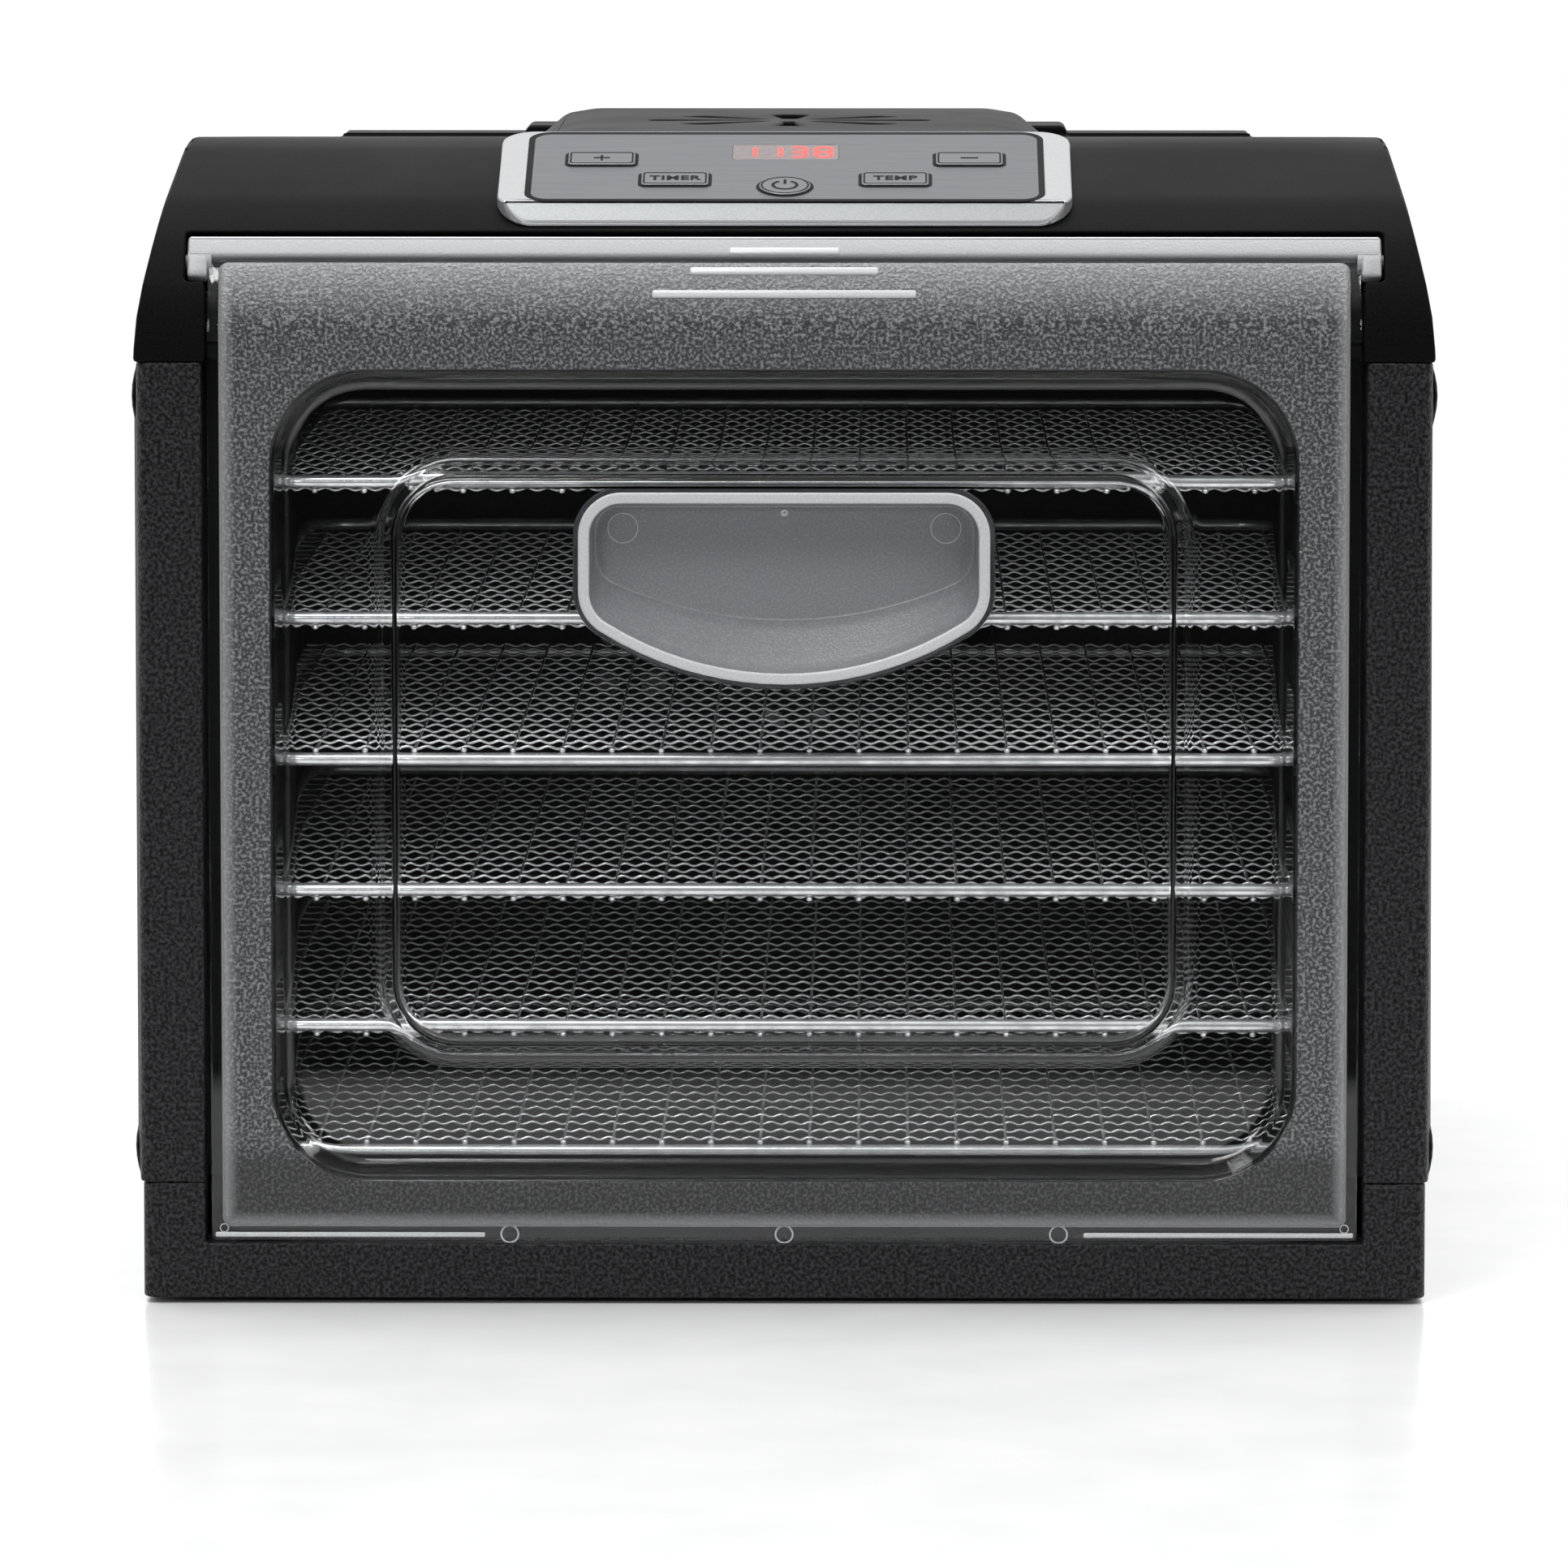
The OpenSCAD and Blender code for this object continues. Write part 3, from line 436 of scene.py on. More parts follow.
class Kit(Enum):
    """Every finish on the appliance."""

    # ABS from a spark-eroded mould: near black and pebbled, with a dull sheen on the grain's tops,
    # painted as lighter flecks over the real relief.
    BODY = MouldedPlastic(
        "black ABS, spark-eroded grain with painted sheen", "020203", 0.42, 0.0, 0.16,
        fleck="323234", grain_mm=1.0, grain_depth_mm=0.5, fleck_level=0.54,
    )
    # The same ABS from a finer tool: the top cover looks smooth and satin.
    COVER = MouldedPlastic(
        "black ABS, satin", "040405", 0.5, 0.0, 0.05,
        fleck="0d0d0e", grain_mm=0.5, grain_depth_mm=0.03, handling=0.05,
    )
    # Inner mouldings: coarse, dull black.
    INNER = MouldedPlastic(
        "black polypropylene, as moulded", "070708", 0.6, 0.0, 0.2,
        fleck="0f0f10", grain_mm=1.4, grain_depth_mm=0.05,
    )
    # Polished polycarbonate: the clear window, border and rim.
    CLEAR = ClearMoulding("clear polycarbonate, polished", "ffffff", 0.0)
    # Blasted polycarbonate: the grey milky frame and handle, with painted shade below the sill and
    # painted light on the top bend and along the frame's edges.
    FROST = FrostingWithPaintedLight(
        "polycarbonate, blasted frosting", "2c2d2f", 0.34, 0.0, 0.42,
        fleck="9a9c9f", clearness=0.45, grain_mm=0.9, grain_depth_mm=0.6,
    )
    # Frosted handle; the same finish on the hanging strip, ears and pins gets the painted light
    # above the brow.
    HANDLE = FrostingWithPaintedLight(
        "polycarbonate, frosted handle, painted light on top", "808285", 0.36, 0.0, 0.5,
        fleck="929497", clearness=0.3, grain_mm=0.6, grain_depth_mm=0.12,
    )
    # Raised lines and edges, frosted, and light grey as a painted highlight where they catch the
    # light, down to the door's foot.
    RAISED = FrostingWithPaintedLight(
        "polycarbonate, frosted ridge, painted highlight", "bcbec0", 0.3, 0.0, 0.6,
        fleck="c8cacc", clearness=0.1, grain_mm=0.6, grain_depth_mm=0.04, sill=0.0,
    )
    SILVER = MetallicLacquer("silver lacquer on ABS", "9c9ea0", 0.36, 0.6)
    OVERLAY = BrushedSheet("stainless sheet, brushed across", "6f7173", 0.36, 1.0, streak="64666a")
    KEYS = BrushedSheet("stainless key cap, brushed across", "747678", 0.36, 1.0, streak="6a6c6f")
    # Screen-printed legends and key outline lines, and the same black as painted shade in the gap
    # round the overlay.
    INK_AND_SHADE = MouldedPlastic(
        "black screen ink, also painted gap shade", "0a0a0b", 0.6, 0.0, 0.1,
        fleck="101011", grain_mm=0.3, grain_depth_mm=0.01,
    )
    LENS = MouldedPlastic(
        "smoked acrylic window", "5f5556", 0.2,
        fleck="6a5c5d", grain_mm=2.0, grain_depth_mm=0.0, handling=0.02,
    )
    LED = LitSegment("red diode segment", "f0332a", 0.4, strength=1.0)
    LED_CASE = MouldedPlastic("display housing, grey epoxy", "2c1416", 0.5)
    CHROME = PlatedMetal("steel wire, bright chrome", "f2f3f3", 0.2, 0.8)
    ZINC = PlatedMetal("steel, zinc plated", "a8a9a6", 0.35, 1.0, cloud="8f918e", cloud_mm=3.0)
    MOTOR = PlatedMetal("motor can, grey lacquer", "5a5d60", 0.4, 0.3, cloud="4c4f52")
    BLADE = PlatedMetal(
        "aluminium sheet, stamped", "c3c4c5", 0.3, 1.0, cloud="a9abac", cloud_mm=8.0
    )
    HEATER = PlatedMetal(
        "heater sheath, oxidised steel", "4a403a", 0.5, 0.9, cloud="5d4a3e", cloud_mm=5.0
    )
    BOARD = MouldedPlastic(
        "circuit board, solder mask", "14402a", 0.35,
        fleck="1b4c33", grain_mm=1.2, grain_depth_mm=0.02,
    )
    PARTS = MouldedPlastic("moulded components", "3b3b3e", 0.45)
    RUBBER = MouldedPlastic(
        "rubber foot, matt", "1c1c1c", 0.75, 0.0, 0.4,
        fleck="242424", grain_mm=0.8, grain_depth_mm=0.05,
    )
    INLET = MouldedPlastic(
        "black nylon, glossy", "0f0f10", 0.25,
        fleck="151516", grain_mm=1.0, grain_depth_mm=0.01,
    )
    PINS = PlatedMetal(
        "brass pin, nickel plated", "c8c3b4", 0.25, 1.0, cloud="b3ad9c", cloud_mm=2.0
    )
    # Pale painted board under the appliance, with a soft reflection and painted shade towards the
    # front.
    FLOOR = StudioBoardWithPaintedShade(
        "floor, pale satin board, painted shade in front", "e2e2e3", 0.22,
        fleck="e6e6e6", grain_mm=40.0, grain_depth_mm=0.0, handling=0.02,
    )

    @property
    def material(self) -> Material:
        """The finish's material, made the first time it is asked for."""
        return bpy.data.materials.get(self.value.name) or self.value.build()


# ---------------------------------------------------------------------------
# Mesh helpers
# ---------------------------------------------------------------------------


@contextmanager
def edited(mesh: Mesh) -> Iterator[WorkMesh]:
    """Open a mesh for editing and write it back."""
    work = bmesh.new()
    work.from_mesh(mesh)
    yield work
    work.to_mesh(mesh)
    work.free()


def link_object(name: str, data: bpy.types.ID) -> Piece:
    """Put an object with its mesh, camera, lamp or text into the scene."""
    thing = bpy.data.objects.new(name, data)
    bpy.context.scene.collection.objects.link(thing)
    return thing


def smooth_by_angle(mesh: Mesh, degrees: float = DEFAULT_CRISP) -> None:
    """Shade a mesh smooth and keep edges sharper than an angle crisp.

    Args:
        mesh: the mesh.
        degrees: the smallest angle that stays crisp.
    """
    limit = math.radians(degrees)
    with edited(mesh) as work:
        for face in work.faces:
            face.smooth = True
        for edge in work.edges:
            edge.smooth = len(edge.link_faces) != 2 or edge.calc_face_angle(0.0) < limit


def add_piece(
    name: str,
    points: Sequence[Point],
    faces: Sequence[Sequence[int]],
    finishes: Sequence[Kit],
    indices: Optional[Sequence[int]] = None,
    crisp: float = DEFAULT_CRISP,
) -> Piece:
    """Make a closed mesh piece in the row frame.

    Args:
        name: the piece's name.
        points: corners in metres.
        faces: corner numbers of each face.
        finishes: the piece's finishes, in slot order.
        indices: the slot of each face.
        crisp: the angle from which edges stay crisp.

    Returns:
        The new object.
    """
    mesh = bpy.data.meshes.new(name)
    mesh.from_pydata([tuple(p) for p in points], [], [list(f) for f in faces])
    for finish in finishes:
        mesh.materials.append(finish.material)
    if indices is not None:
        mesh.polygons.foreach_set("material_index", list(indices))
    with edited(mesh) as work:
        bmesh.ops.remove_doubles(work, verts=work.verts, dist=MERGE_DIST)
        bmesh.ops.dissolve_degenerate(work, edges=work.edges, dist=MERGE_DIST)
        bmesh.ops.recalc_face_normals(work, faces=work.faces)
    smooth_by_angle(mesh, crisp)
    return link_object(name, mesh)


def piece_from(
    name: str, work: WorkMesh, at: Callable[[float, float, float], Point], finish: Kit
) -> Piece:
    """Turn a work mesh into a piece.

    Args:
        name: the piece's name.
        work: the work mesh, in millimetres, which is used up.
        at: what turns its corners into places in the row frame.
        finish: the piece's finish.

    Returns:
        The new object.
    """
    work.verts.index_update()
    points = [at(*vert.co) for vert in work.verts]
    faces = [[vert.index for vert in face.verts] for face in work.faces]
    work.free()
    return add_piece(name, points, faces, [finish])


def tube_faces(around: int, section: int, closed: bool = True) -> list[list[int]]:
    """Join rings of corners into the skin of a tube.

    Args:
        around: how many rings follow each other.
        section: how many corners each ring has.
        closed: whether the last ring joins the first, or both ends get a flat cap.

    Returns:
        The corner numbers of each face.
    """
    faces = []
    for i in range(around if closed else around - 1):
        here, on = i * section, (i + 1) % around * section
        for j in range(section):
            k = (j + 1) % section
            faces.append([here + j, here + k, on + k, on + j])
    if not closed:
        last = (around - 1) * section
        faces += [list(range(section)), list(range(last, last + section))]
    return faces


def join_mesh(name: str, parts: Sequence[Piece]) -> Piece:
    """Join pieces into one object.

    Args:
        name: the joined piece's name.
        parts: the pieces, which are used up.

    Returns:
        The joined object.
    """
    work = bmesh.new()
    finishes: list[Material] = []
    for part in parts:
        slots = []
        for material in part.data.materials:
            if material not in finishes:
                finishes.append(material)
            slots.append(finishes.index(material))
        first = len(work.faces)
        work.from_mesh(part.data)
        work.faces.ensure_lookup_table()
        for face in work.faces[first:]:
            face.material_index = slots[face.material_index] if slots else 0
        bpy.data.objects.remove(part)
    mesh = bpy.data.meshes.new(name)
    work.to_mesh(mesh)
    work.free()
    for material in finishes:
        mesh.materials.append(material)
    return link_object(name, mesh)


def bake_modifiers(piece: Piece) -> None:
    """Turn a piece with its modifiers into a plain mesh."""
    graph = bpy.context.evaluated_depsgraph_get()
    mesh = bpy.data.meshes.new_from_object(piece.evaluated_get(graph), depsgraph=graph)
    piece.modifiers.clear()
    piece.data = mesh


def merged_copy(node: str, name: str) -> Piece:
    """Copy a node's solid with its corners merged and its flat faces whole.

    Args:
        node: the node's name.
        name: the copy's name.

    Returns:
        The copy, which doesn't stand for the node yet.
    """
    mesh = frame["nodes"][node].data.copy()
    mesh.name = name
    mesh.materials.clear()
    flat = math.radians(0.6)
    with edited(mesh) as work:
        bmesh.ops.remove_doubles(work, verts=work.verts, dist=2 * MERGE_DIST)
        bmesh.ops.dissolve_limit(work, angle_limit=flat, verts=work.verts, edges=work.edges)
    return link_object(name, mesh)


def round_edges(piece: Piece, width_mm: float, crisp: float = 30.0) -> None:
    """Round a piece's hard edges, as a mould or a press leaves them.

    Args:
        piece: the piece.
        width_mm: the width of the rounding.
        crisp: the angle from which an edge is rounded.
    """
    smooth_by_angle(piece.data, crisp)
    modifier = piece.modifiers.new("round", "BEVEL")
    modifier.harden_normals = True
    modifier.width = width_mm * MM
    modifier.segments = 2
    modifier.limit_method = "ANGLE"
    modifier.angle_limit = math.radians(crisp)
    modifier.use_clamp_overlap = False
    modifier.miter_outer = "MITER_ARC"
    bake_modifiers(piece)


# ---------------------------------------------------------------------------
# The frame's own places
# ---------------------------------------------------------------------------


@dataclass
class Shell:
    """Places that the other classes share, read from the frame."""

    front: float = CAD_BOUNDS[0][1] / MM
    base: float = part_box("base_tub")[0].z / MM

    def at(self, x: float, y: float, z: float) -> Point:
        """Give a place in the row frame, in metres."""
        return x * MM, (y + self.front) * MM, (z + self.base) * MM

    def low(self, node: str) -> Vector:
        """Give a node's lowest corner in the maker's frame."""
        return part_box(node)[0] / MM - Vector((0, self.front, self.base))

    def high(self, node: str) -> Vector:
        """Give a node's highest corner in the maker's frame."""
        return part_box(node)[1] / MM - Vector((0, self.front, self.base))


SHELL = Shell()


def finish_nodes(finish: Kit, *nodes: str) -> None:
    """Give carried-over nodes a finish.

    Args:
        finish: the finish.
        *nodes: the nodes' names.
    """
    for node in nodes:
        mesh = frame["nodes"][node].data
        mesh.materials.clear()
        mesh.materials.append(finish.material)


def stand_in(piece: Piece, node: str, finish: Kit, body: str) -> Piece:
    """Finish a piece and let it ride on a body in a node's stead."""
    piece.data.materials.clear()
    piece.data.materials.append(finish.material)
    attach(piece, body)
    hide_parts(node)
    return piece


def soften(node: str, finish: Kit, width_mm: float, body: str = "housing") -> Piece:
    """Stand a copy with rounded edges in for a node.

    Args:
        node: the node's name.
        finish: its finish.
        width_mm: the width of the rounding.
        body: the body it rides on.

    Returns:
        The new piece.
    """
    piece = merged_copy(node, node + "_moulding")
    round_edges(piece, width_mm)
    return stand_in(piece, node, finish, body)


def smooth_copy(node: str, finish: Kit, body: str) -> Piece:
    """Stand a smooth-shaded copy in for a node of round wire or turned metal."""
    piece = merged_copy(node, node + "_smooth")
    smooth_by_angle(piece.data, 40.0)
    return stand_in(piece, node, finish, body)


def block(low: Point, high: Point, name: str) -> Piece:
    """Make a block between two corners in the maker's frame. It has no finish yet."""
    across, depth, up = zip(low, high)
    corners = [SHELL.at(x, y, z) for x in across for y in depth for z in up]
    faces = [(0, 1, 3, 2), (4, 6, 7, 5), (0, 4, 5, 1), (2, 3, 7, 6), (0, 2, 6, 4), (1, 5, 7, 3)]
    return add_piece(name, corners, faces, [])


# ---------------------------------------------------------------------------
# Housing
# ---------------------------------------------------------------------------


@dataclass
class Housing:
    """Base tub, side panels, top cover and the fixed parts behind them."""

    shell_edge: float = 0.7
    cover_edge: float = 1.0
    vent_edge: float = 0.9
    small_edge: float = 0.4
    screen_edge: float = 0.3
    # Corners of the plain dark plate inside the rear vents, which stands in for the shade behind
    # them.
    screen_low: Point = (-90.0, 441.6, 45.0)
    screen_high: Point = (90.0, 442.4, 222.0)
    body: str = "housing"

    def build(self) -> list[Piece]:
        """Soften the mouldings and give every fixed node its finish.

        Returns:
            The new pieces.
        """
        pieces = [
            soften("base_tub", Kit.BODY, self.shell_edge),
            soften("left_side_panel", Kit.BODY, self.shell_edge),
            soften("right_side_panel", Kit.BODY, self.shell_edge),
            soften("top_cover", Kit.COVER, self.cover_edge),
            soften("top_vent_grille", Kit.COVER, self.vent_edge),
            soften("power_inlet", Kit.INLET, self.small_edge),
            soften("rubber_feet", Kit.RUBBER, self.small_edge),
        ]
        # A dark plate that stands in for the shade inside, so the bright room behind doesn't show
        # through the fan holes.
        screen = block(self.screen_low, self.screen_high, "vent_shade_plate")
        round_edges(screen, self.screen_edge)
        screen.data.materials.append(Kit.INNER.material)
        pieces.append(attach(screen, self.body))
        finish_nodes(Kit.BODY, "rear_cover")
        finish_nodes(Kit.INNER, "chamber_wall_left", "chamber_wall_right", "chamber_ceiling")
        finish_nodes(Kit.INNER, "fan_bulkhead", "fan_shroud")
        finish_nodes(Kit.ZINC, "motor_bracket", "motor_screws", "cover_screws", "temperature_probe")
        finish_nodes(Kit.PARTS, "heater_pads", "thermal_cutoff")
        finish_nodes(Kit.PARTS, "power_board_parts", "key_switches")
        finish_nodes(Kit.BOARD, "power_board", "control_board")
        finish_nodes(Kit.PINS, "inlet_pins")
        pieces.append(smooth_copy("motor_body", Kit.MOTOR, self.body))
        pieces.append(smooth_copy("heater_ring", Kit.HEATER, self.body))
        for node in ("fan_blades", "fan_nut", "fan_shaft"):
            finish = Kit.BLADE if node == "fan_blades" else Kit.ZINC
            pieces.append(smooth_copy(node, finish, "fan"))
        return pieces


# ---------------------------------------------------------------------------
# Door
# ---------------------------------------------------------------------------


@dataclass(frozen=True)
class Outline:
    """A four-sided outline with rounded corners, whose lower side may bow down in the middle."""

    half: float
    low: float
    high: float
    radius: float
    low_radius: float = 0.0
    sag: float = 0.0

    CORNER = 11
    ACROSS = 9
    UP = (0.12, 0.26, 0.4, 0.54, 0.68, 0.8, 0.88, 0.91, 0.925, 0.94, 0.955, 0.97, 0.985)

    @property
    def bow(self) -> float:
        """The radius of the lower side."""
        reach = self.half - 4.0
        return (reach**2 + self.sag**2) / (2 * self.sag) if self.sag else 1e6

    def loop(self, grow: float = 0.0) -> list[Flat]:
        """Give the outline's points, always as many, from the middle of the lower side.

        Args:
            grow: how far the outline is moved out.

        Returns:
            Points as (across, up).
        """
        half, high, bow = self.half + grow, self.high + grow, self.bow + grow
        middle = self.low - grow + bow
        top_r = max(self.radius + grow, 0.3)
        low_r = max((self.low_radius or self.radius) + grow, 0.3)
        drop = math.sqrt((bow - low_r) ** 2 - (half - low_r) ** 2)
        first = math.atan2(-drop, half - low_r)
        shares = [i / self.CORNER for i in range(self.CORNER + 1)]
        low_corner = [
            (half - low_r + low_r * math.cos(a), middle - drop + low_r * math.sin(a))
            for a in (first * (1 - share) for share in shares)
        ]
        top_corner = [
            (half - top_r + top_r * math.cos(a), high - top_r + top_r * math.sin(a))
            for a in (math.pi / 2 * share for share in shares)
        ]
        foot, head = low_corner[-1][1], top_corner[0][1]
        runs = [low_corner[0][0] * i / self.ACROSS for i in range(self.ACROSS)]
        right = [(x, middle - math.sqrt(bow**2 - x**2)) for x in runs]
        right += low_corner
        right += [(half, foot + (head - foot) * share) for share in self.UP]
        right += top_corner
        right += [((half - top_r) * (1 - (i + 1) / self.ACROSS), high) for i in range(self.ACROSS)]
        return right + [(-x, z) for x, z in reversed(right[1:-1])]


def rounded(knots: Sequence[tuple[float, float, float]], steps: int = 5) -> list[Flat]:
    """Round the corners of a profile.

    Args:
        knots: (offset, depth, radius) of each corner.
        steps: facets in each rounding.

    Returns:
        The profile's points as (offset, depth).
    """
    points = [knots[0][:2]]
    for before, here, after in zip(knots, knots[1:], knots[2:]):
        corner = Vector(here[:2])
        back = (Vector(before[:2]) - corner).normalized()
        on = (Vector(after[:2]) - corner).normalized()
        half = back.angle(on) / 2
        middle = corner + (back + on).normalized() * here[2] / math.sin(half)
        start = corner + back * here[2] / math.tan(half) - middle
        end = corner + on * here[2] / math.tan(half) - middle
        turn = math.pi - 2 * half
        for i in range(steps + 1):
            t = i / steps
            blend = (start * math.sin(turn * (1 - t)) + end * math.sin(turn * t)) / math.sin(turn)
            points.append(tuple(middle + blend))
    return points + [knots[-1][:2]]


@dataclass
class Door:
    """The clear moulded door: leaf, frosted frame, window recess, raised middle and handle."""

    leaf: Outline = Outline(152.8, 15.0, 279.5, 1.5)
    frame: Outline = Outline(149.8, 19.0, 278.3, 2.5)
    window: Outline = Outline(136.2, 31.7, 248.0, 25.0)
    middle: Outline = Outline(105.0, 66.7, 221.0, 18.0)
    handle: Outline = Outline(54.1, 165.0, 215.0, 11.0, 12.0, 15.0)
    floor: Outline = Outline(50.0, 181.0, 210.7, 6.0, 8.0, 10.0)
    bend_z: float = 255.004
    bend_r: float = 40.0
    step: float = 1.8
    back: float = 4.6
    pane_front: float = 8.5
    pane_back: float = 11.0
    raised_front: float = 0.5
    raised_back: float = 3.0
    floor_front: float = 12.0
    floor_back: float = 14.5
    strip_low: float = 279.4
    strip_high: float = 285.95
    ear_half: float = 158.2
    hinge: Flat = (10.4, 276.0)
    ear_low: float = 273.4
    strip_edge: float = 0.9
    ear_edge: float = 0.8
    boss_radius: float = 3.6
    pin_radius: float = 2.0
    pin_end: float = 162.4
    groove_depth: float = 0.25
    grip_lines: Sequence[Flat] = ((14.7, 280.9), (25.0, 274.8), (35.0, 268.3))
    foot_ledge_glint: float = 115.8
    bend_rings: int = 11
    painted_light_reach: float = 5.0
    body: str = "door"

    def at(self, x: float, y: float, s: float) -> Point:
        """Place a point of the flat pattern; above the bend, s runs along the rounded top."""
        if s <= self.bend_z:
            return SHELL.at(x, y, s)
        turn = (s - self.bend_z) / self.bend_r
        out = self.bend_r - y
        return SHELL.at(x, self.bend_r - out * math.cos(turn), self.bend_z + out * math.sin(turn))

    @staticmethod
    def rings(outline: Outline, *knots: tuple[float, float, float]) -> list[Ring]:
        """Sweep a profile of (offset, depth, radius) knots round an outline."""
        profile = rounded(knots)
        return [[(x, depth, s) for x, s in outline.loop(offset)] for offset, depth in profile]

    @staticmethod
    def between(first: Ring, last: Ring, count: int) -> list[Ring]:
        """Give evenly spaced rings between two rings."""
        shares = [i / (count + 1) for i in range(1, count + 1)]
        return [
            [tuple(a + (b - a) * share for a, b in zip(p, q)) for p, q in zip(first, last)]
            for share in shares
        ]

    def front_runs(self) -> list[tuple[list[Ring], int]]:
        """Sweep the front: edge, raised frame, window recess, raised middle and handle.

        Returns:
            Groups of rings with the slot of the band that follows each ring.
        """
        step, deep, rise, bed = self.step, self.pane_front, self.raised_front, self.floor_front
        edge = self.rings(self.leaf, (0, 3.2, 0), (0, step, 0.4), (-1, step, 0))
        raised = self.rings(self.frame, (1, step, 0), (0, step, 0.3), (-1.0, 0, 1.6), (-4, 0, 0))
        window = self.rings(self.window, (4, 0, 0), (0, 0, 1.5), (-4.2, deep, 3.5), (-8, deep, 0))
        middle = self.rings(
            self.middle, (6, deep, 0), (2.6, deep, 2.5), (-1.5, rise, 3.5), (-4.2, rise, 0)
        )
        rim = self.rings(
            self.handle,
            (1.0, rise, 0), (0.5, rise, 0.1), (0.1, 0, 0.2), (-2.2, 0, 0.8), (-2.6, 1.2, 0),
        )
        floor = self.rings(self.floor, (0.9, 11, 0), (0.4, bed, 0.9), (-3, bed, 0))
        return [
            (edge, 0),
            (raised[:4], 0),
            (raised[4:], 1),
            (self.between(raised[-1], window[0], self.bend_rings), 1),
            (window[:3], 1),
            (window[3:], 0),
            (middle, 0),
            (rim[:2], 0),
            (rim[2:-2], 3),
            (rim[-2:], 2),
            (self.between(rim[-1], floor[0], 4), 2),
            (floor, 2),
        ]

    def back_runs(self) -> list[tuple[list[Ring], int]]:
        """Sweep the back, from the handle's floor out to the edge, parallel to the front.

        Returns:
            Groups of rings with the slot of the band that follows each ring.
        """
        rear, thick, base, back = self.pane_back, self.raised_back, self.floor_back, self.back
        floor = self.rings(self.floor, (-3, base, 0), (3, base, 1.5), (3.2, base - 1.6, 0))
        rim = self.rings(self.handle, (1.6, 5, 0), (1.7, thick, 0.2), (2.0, thick, 0))
        middle = self.rings(
            self.middle, (-4.6, thick, 0), (-2.7, thick, 1.2), (1.4, rear, 4.2), (4.6, rear, 0)
        )
        window = self.rings(
            self.window, (-8, rear, 0), (-2.8, rear, 5.4), (0.4, back, 0.6), (5, back, 0)
        )
        edge = self.rings(self.leaf, (-1, back, 0), (0, back, 0.4), (0, 3.4, 0))
        bend = self.between(window[-1], edge[0], self.bend_rings)
        return [(floor, 2), (rim, 0), (middle, 0), (window, 0), (bend, 0), (edge, 0)]

    def panel(self) -> Piece:
        """Join the rings into one closed skin that runs over the front and returns behind.

        Returns:
            The whole leaf.
        """
        runs = self.front_runs() + self.back_runs()
        rings = [(ring, slot) for group, slot in runs for ring in group]
        count = len(rings[0][0])
        points = [self.at(*point) for ring, _ in rings for point in ring]
        faces, indices = [], []
        turning = next(i for i, (ring, _) in enumerate(rings) if ring[0][1] == self.floor_back)
        for i, (_, slot) in enumerate(rings):
            here, on = i * count, (i + 1) % len(rings) * count
            if i == turning - 1:
                faces += [list(range(here, here + count)), list(range(on, on + count))]
                indices += [slot, slot]
                continue
            for j in range(count):
                k = (j + 1) % count
                faces.append([here + j, here + k, on + k, on + j])
                indices.append(slot)
        slots = [Kit.CLEAR, Kit.FROST, Kit.HANDLE, Kit.RAISED]
        leaf = add_piece("door_leaf", points, faces, slots, indices, 50.0)
        self.paint_edge_light(leaf)
        return leaf

    def paint_edge_light(self, leaf: Piece) -> None:
        """Store how much painted light the frosting gets towards the rim of the raised frame."""
        glow = leaf.data.attributes.new(PAINTED_EDGE_LIGHT, "FLOAT", "POINT")
        for vert in leaf.data.vertices:
            place = vert.co / MM
            side = self.frame.half - abs(place.x)
            foot = place.z - SHELL.base - self.frame.low
            share = max(min(side, foot), 0.0) / self.painted_light_reach
            glow.data[vert.index].value = max(0.0, 1.0 - share) ** 2

    def bar(
        self,
        name: str,
        low: Point,
        high: Point,
        edge: float,
        finish: Kit,
        cells: int,
        grooves: bool = False,
    ) -> Piece:
        """Make a bar with rounded edges that follows the door's bend.

        Args:
            name: the bar's name.
            low: lowest across, depth and height in the flat pattern.
            high: highest of each.
            edge: the rounding of its edges.
            finish: the bar's finish.
            cells: how many facets follow the bend.
            grooves: whether fine grooves run along its front.

        Returns:
            The bar.
        """
        work = bmesh.new()
        bmesh.ops.create_cube(work, size=1.0)
        size = [b - a for a, b in zip(low, high)]
        for vert in work.verts:
            vert.co = Vector([a + (c + 0.5) * s for a, c, s in zip(low, vert.co, size)])
        rounding = {"offset": edge, "segments": 3, "profile": 0.5, "affect": "EDGES"}
        bmesh.ops.bevel(work, geom=work.edges[:], **rounding)
        for i in range(1, cells):
            level = low[2] + size[2] * i / cells
            geometry = work.verts[:] + work.edges[:] + work.faces[:]
            bmesh.ops.bisect_plane(work, geom=geometry, plane_co=(0, 0, level), plane_no=(0, 0, 1))
        if grooves:
            for vert in work.verts:
                row = round((vert.co.z - low[2]) / size[2] * cells)
                if vert.co.y < low[1] + 0.01 and row % 2 and 0 < row < cells:
                    vert.co.y += self.groove_depth
        return piece_from(name, work, self.at, finish)

    def pin(self, start: float, end: float, radius: float) -> Piece:
        """Make a round boss along the hinge axis, between two places across."""
        work = bmesh.new()
        turn = Matrix.Rotation(math.pi / 2, 4, "Y")
        place = Matrix.Translation(((start + end) / 2, self.hinge[0], self.hinge[1])) @ turn
        size = {"radius1": radius, "radius2": radius, "depth": abs(end - start)}
        bmesh.ops.create_cone(work, cap_ends=True, segments=32, matrix=place, **size)
        rims = [edge for edge in work.edges if edge.calc_face_angle(0.0) > 1.0]
        bmesh.ops.bevel(work, geom=rims, offset=0.3, segments=2, profile=0.5, affect="EDGES")
        return piece_from("pin", work, SHELL.at, Kit.HANDLE)

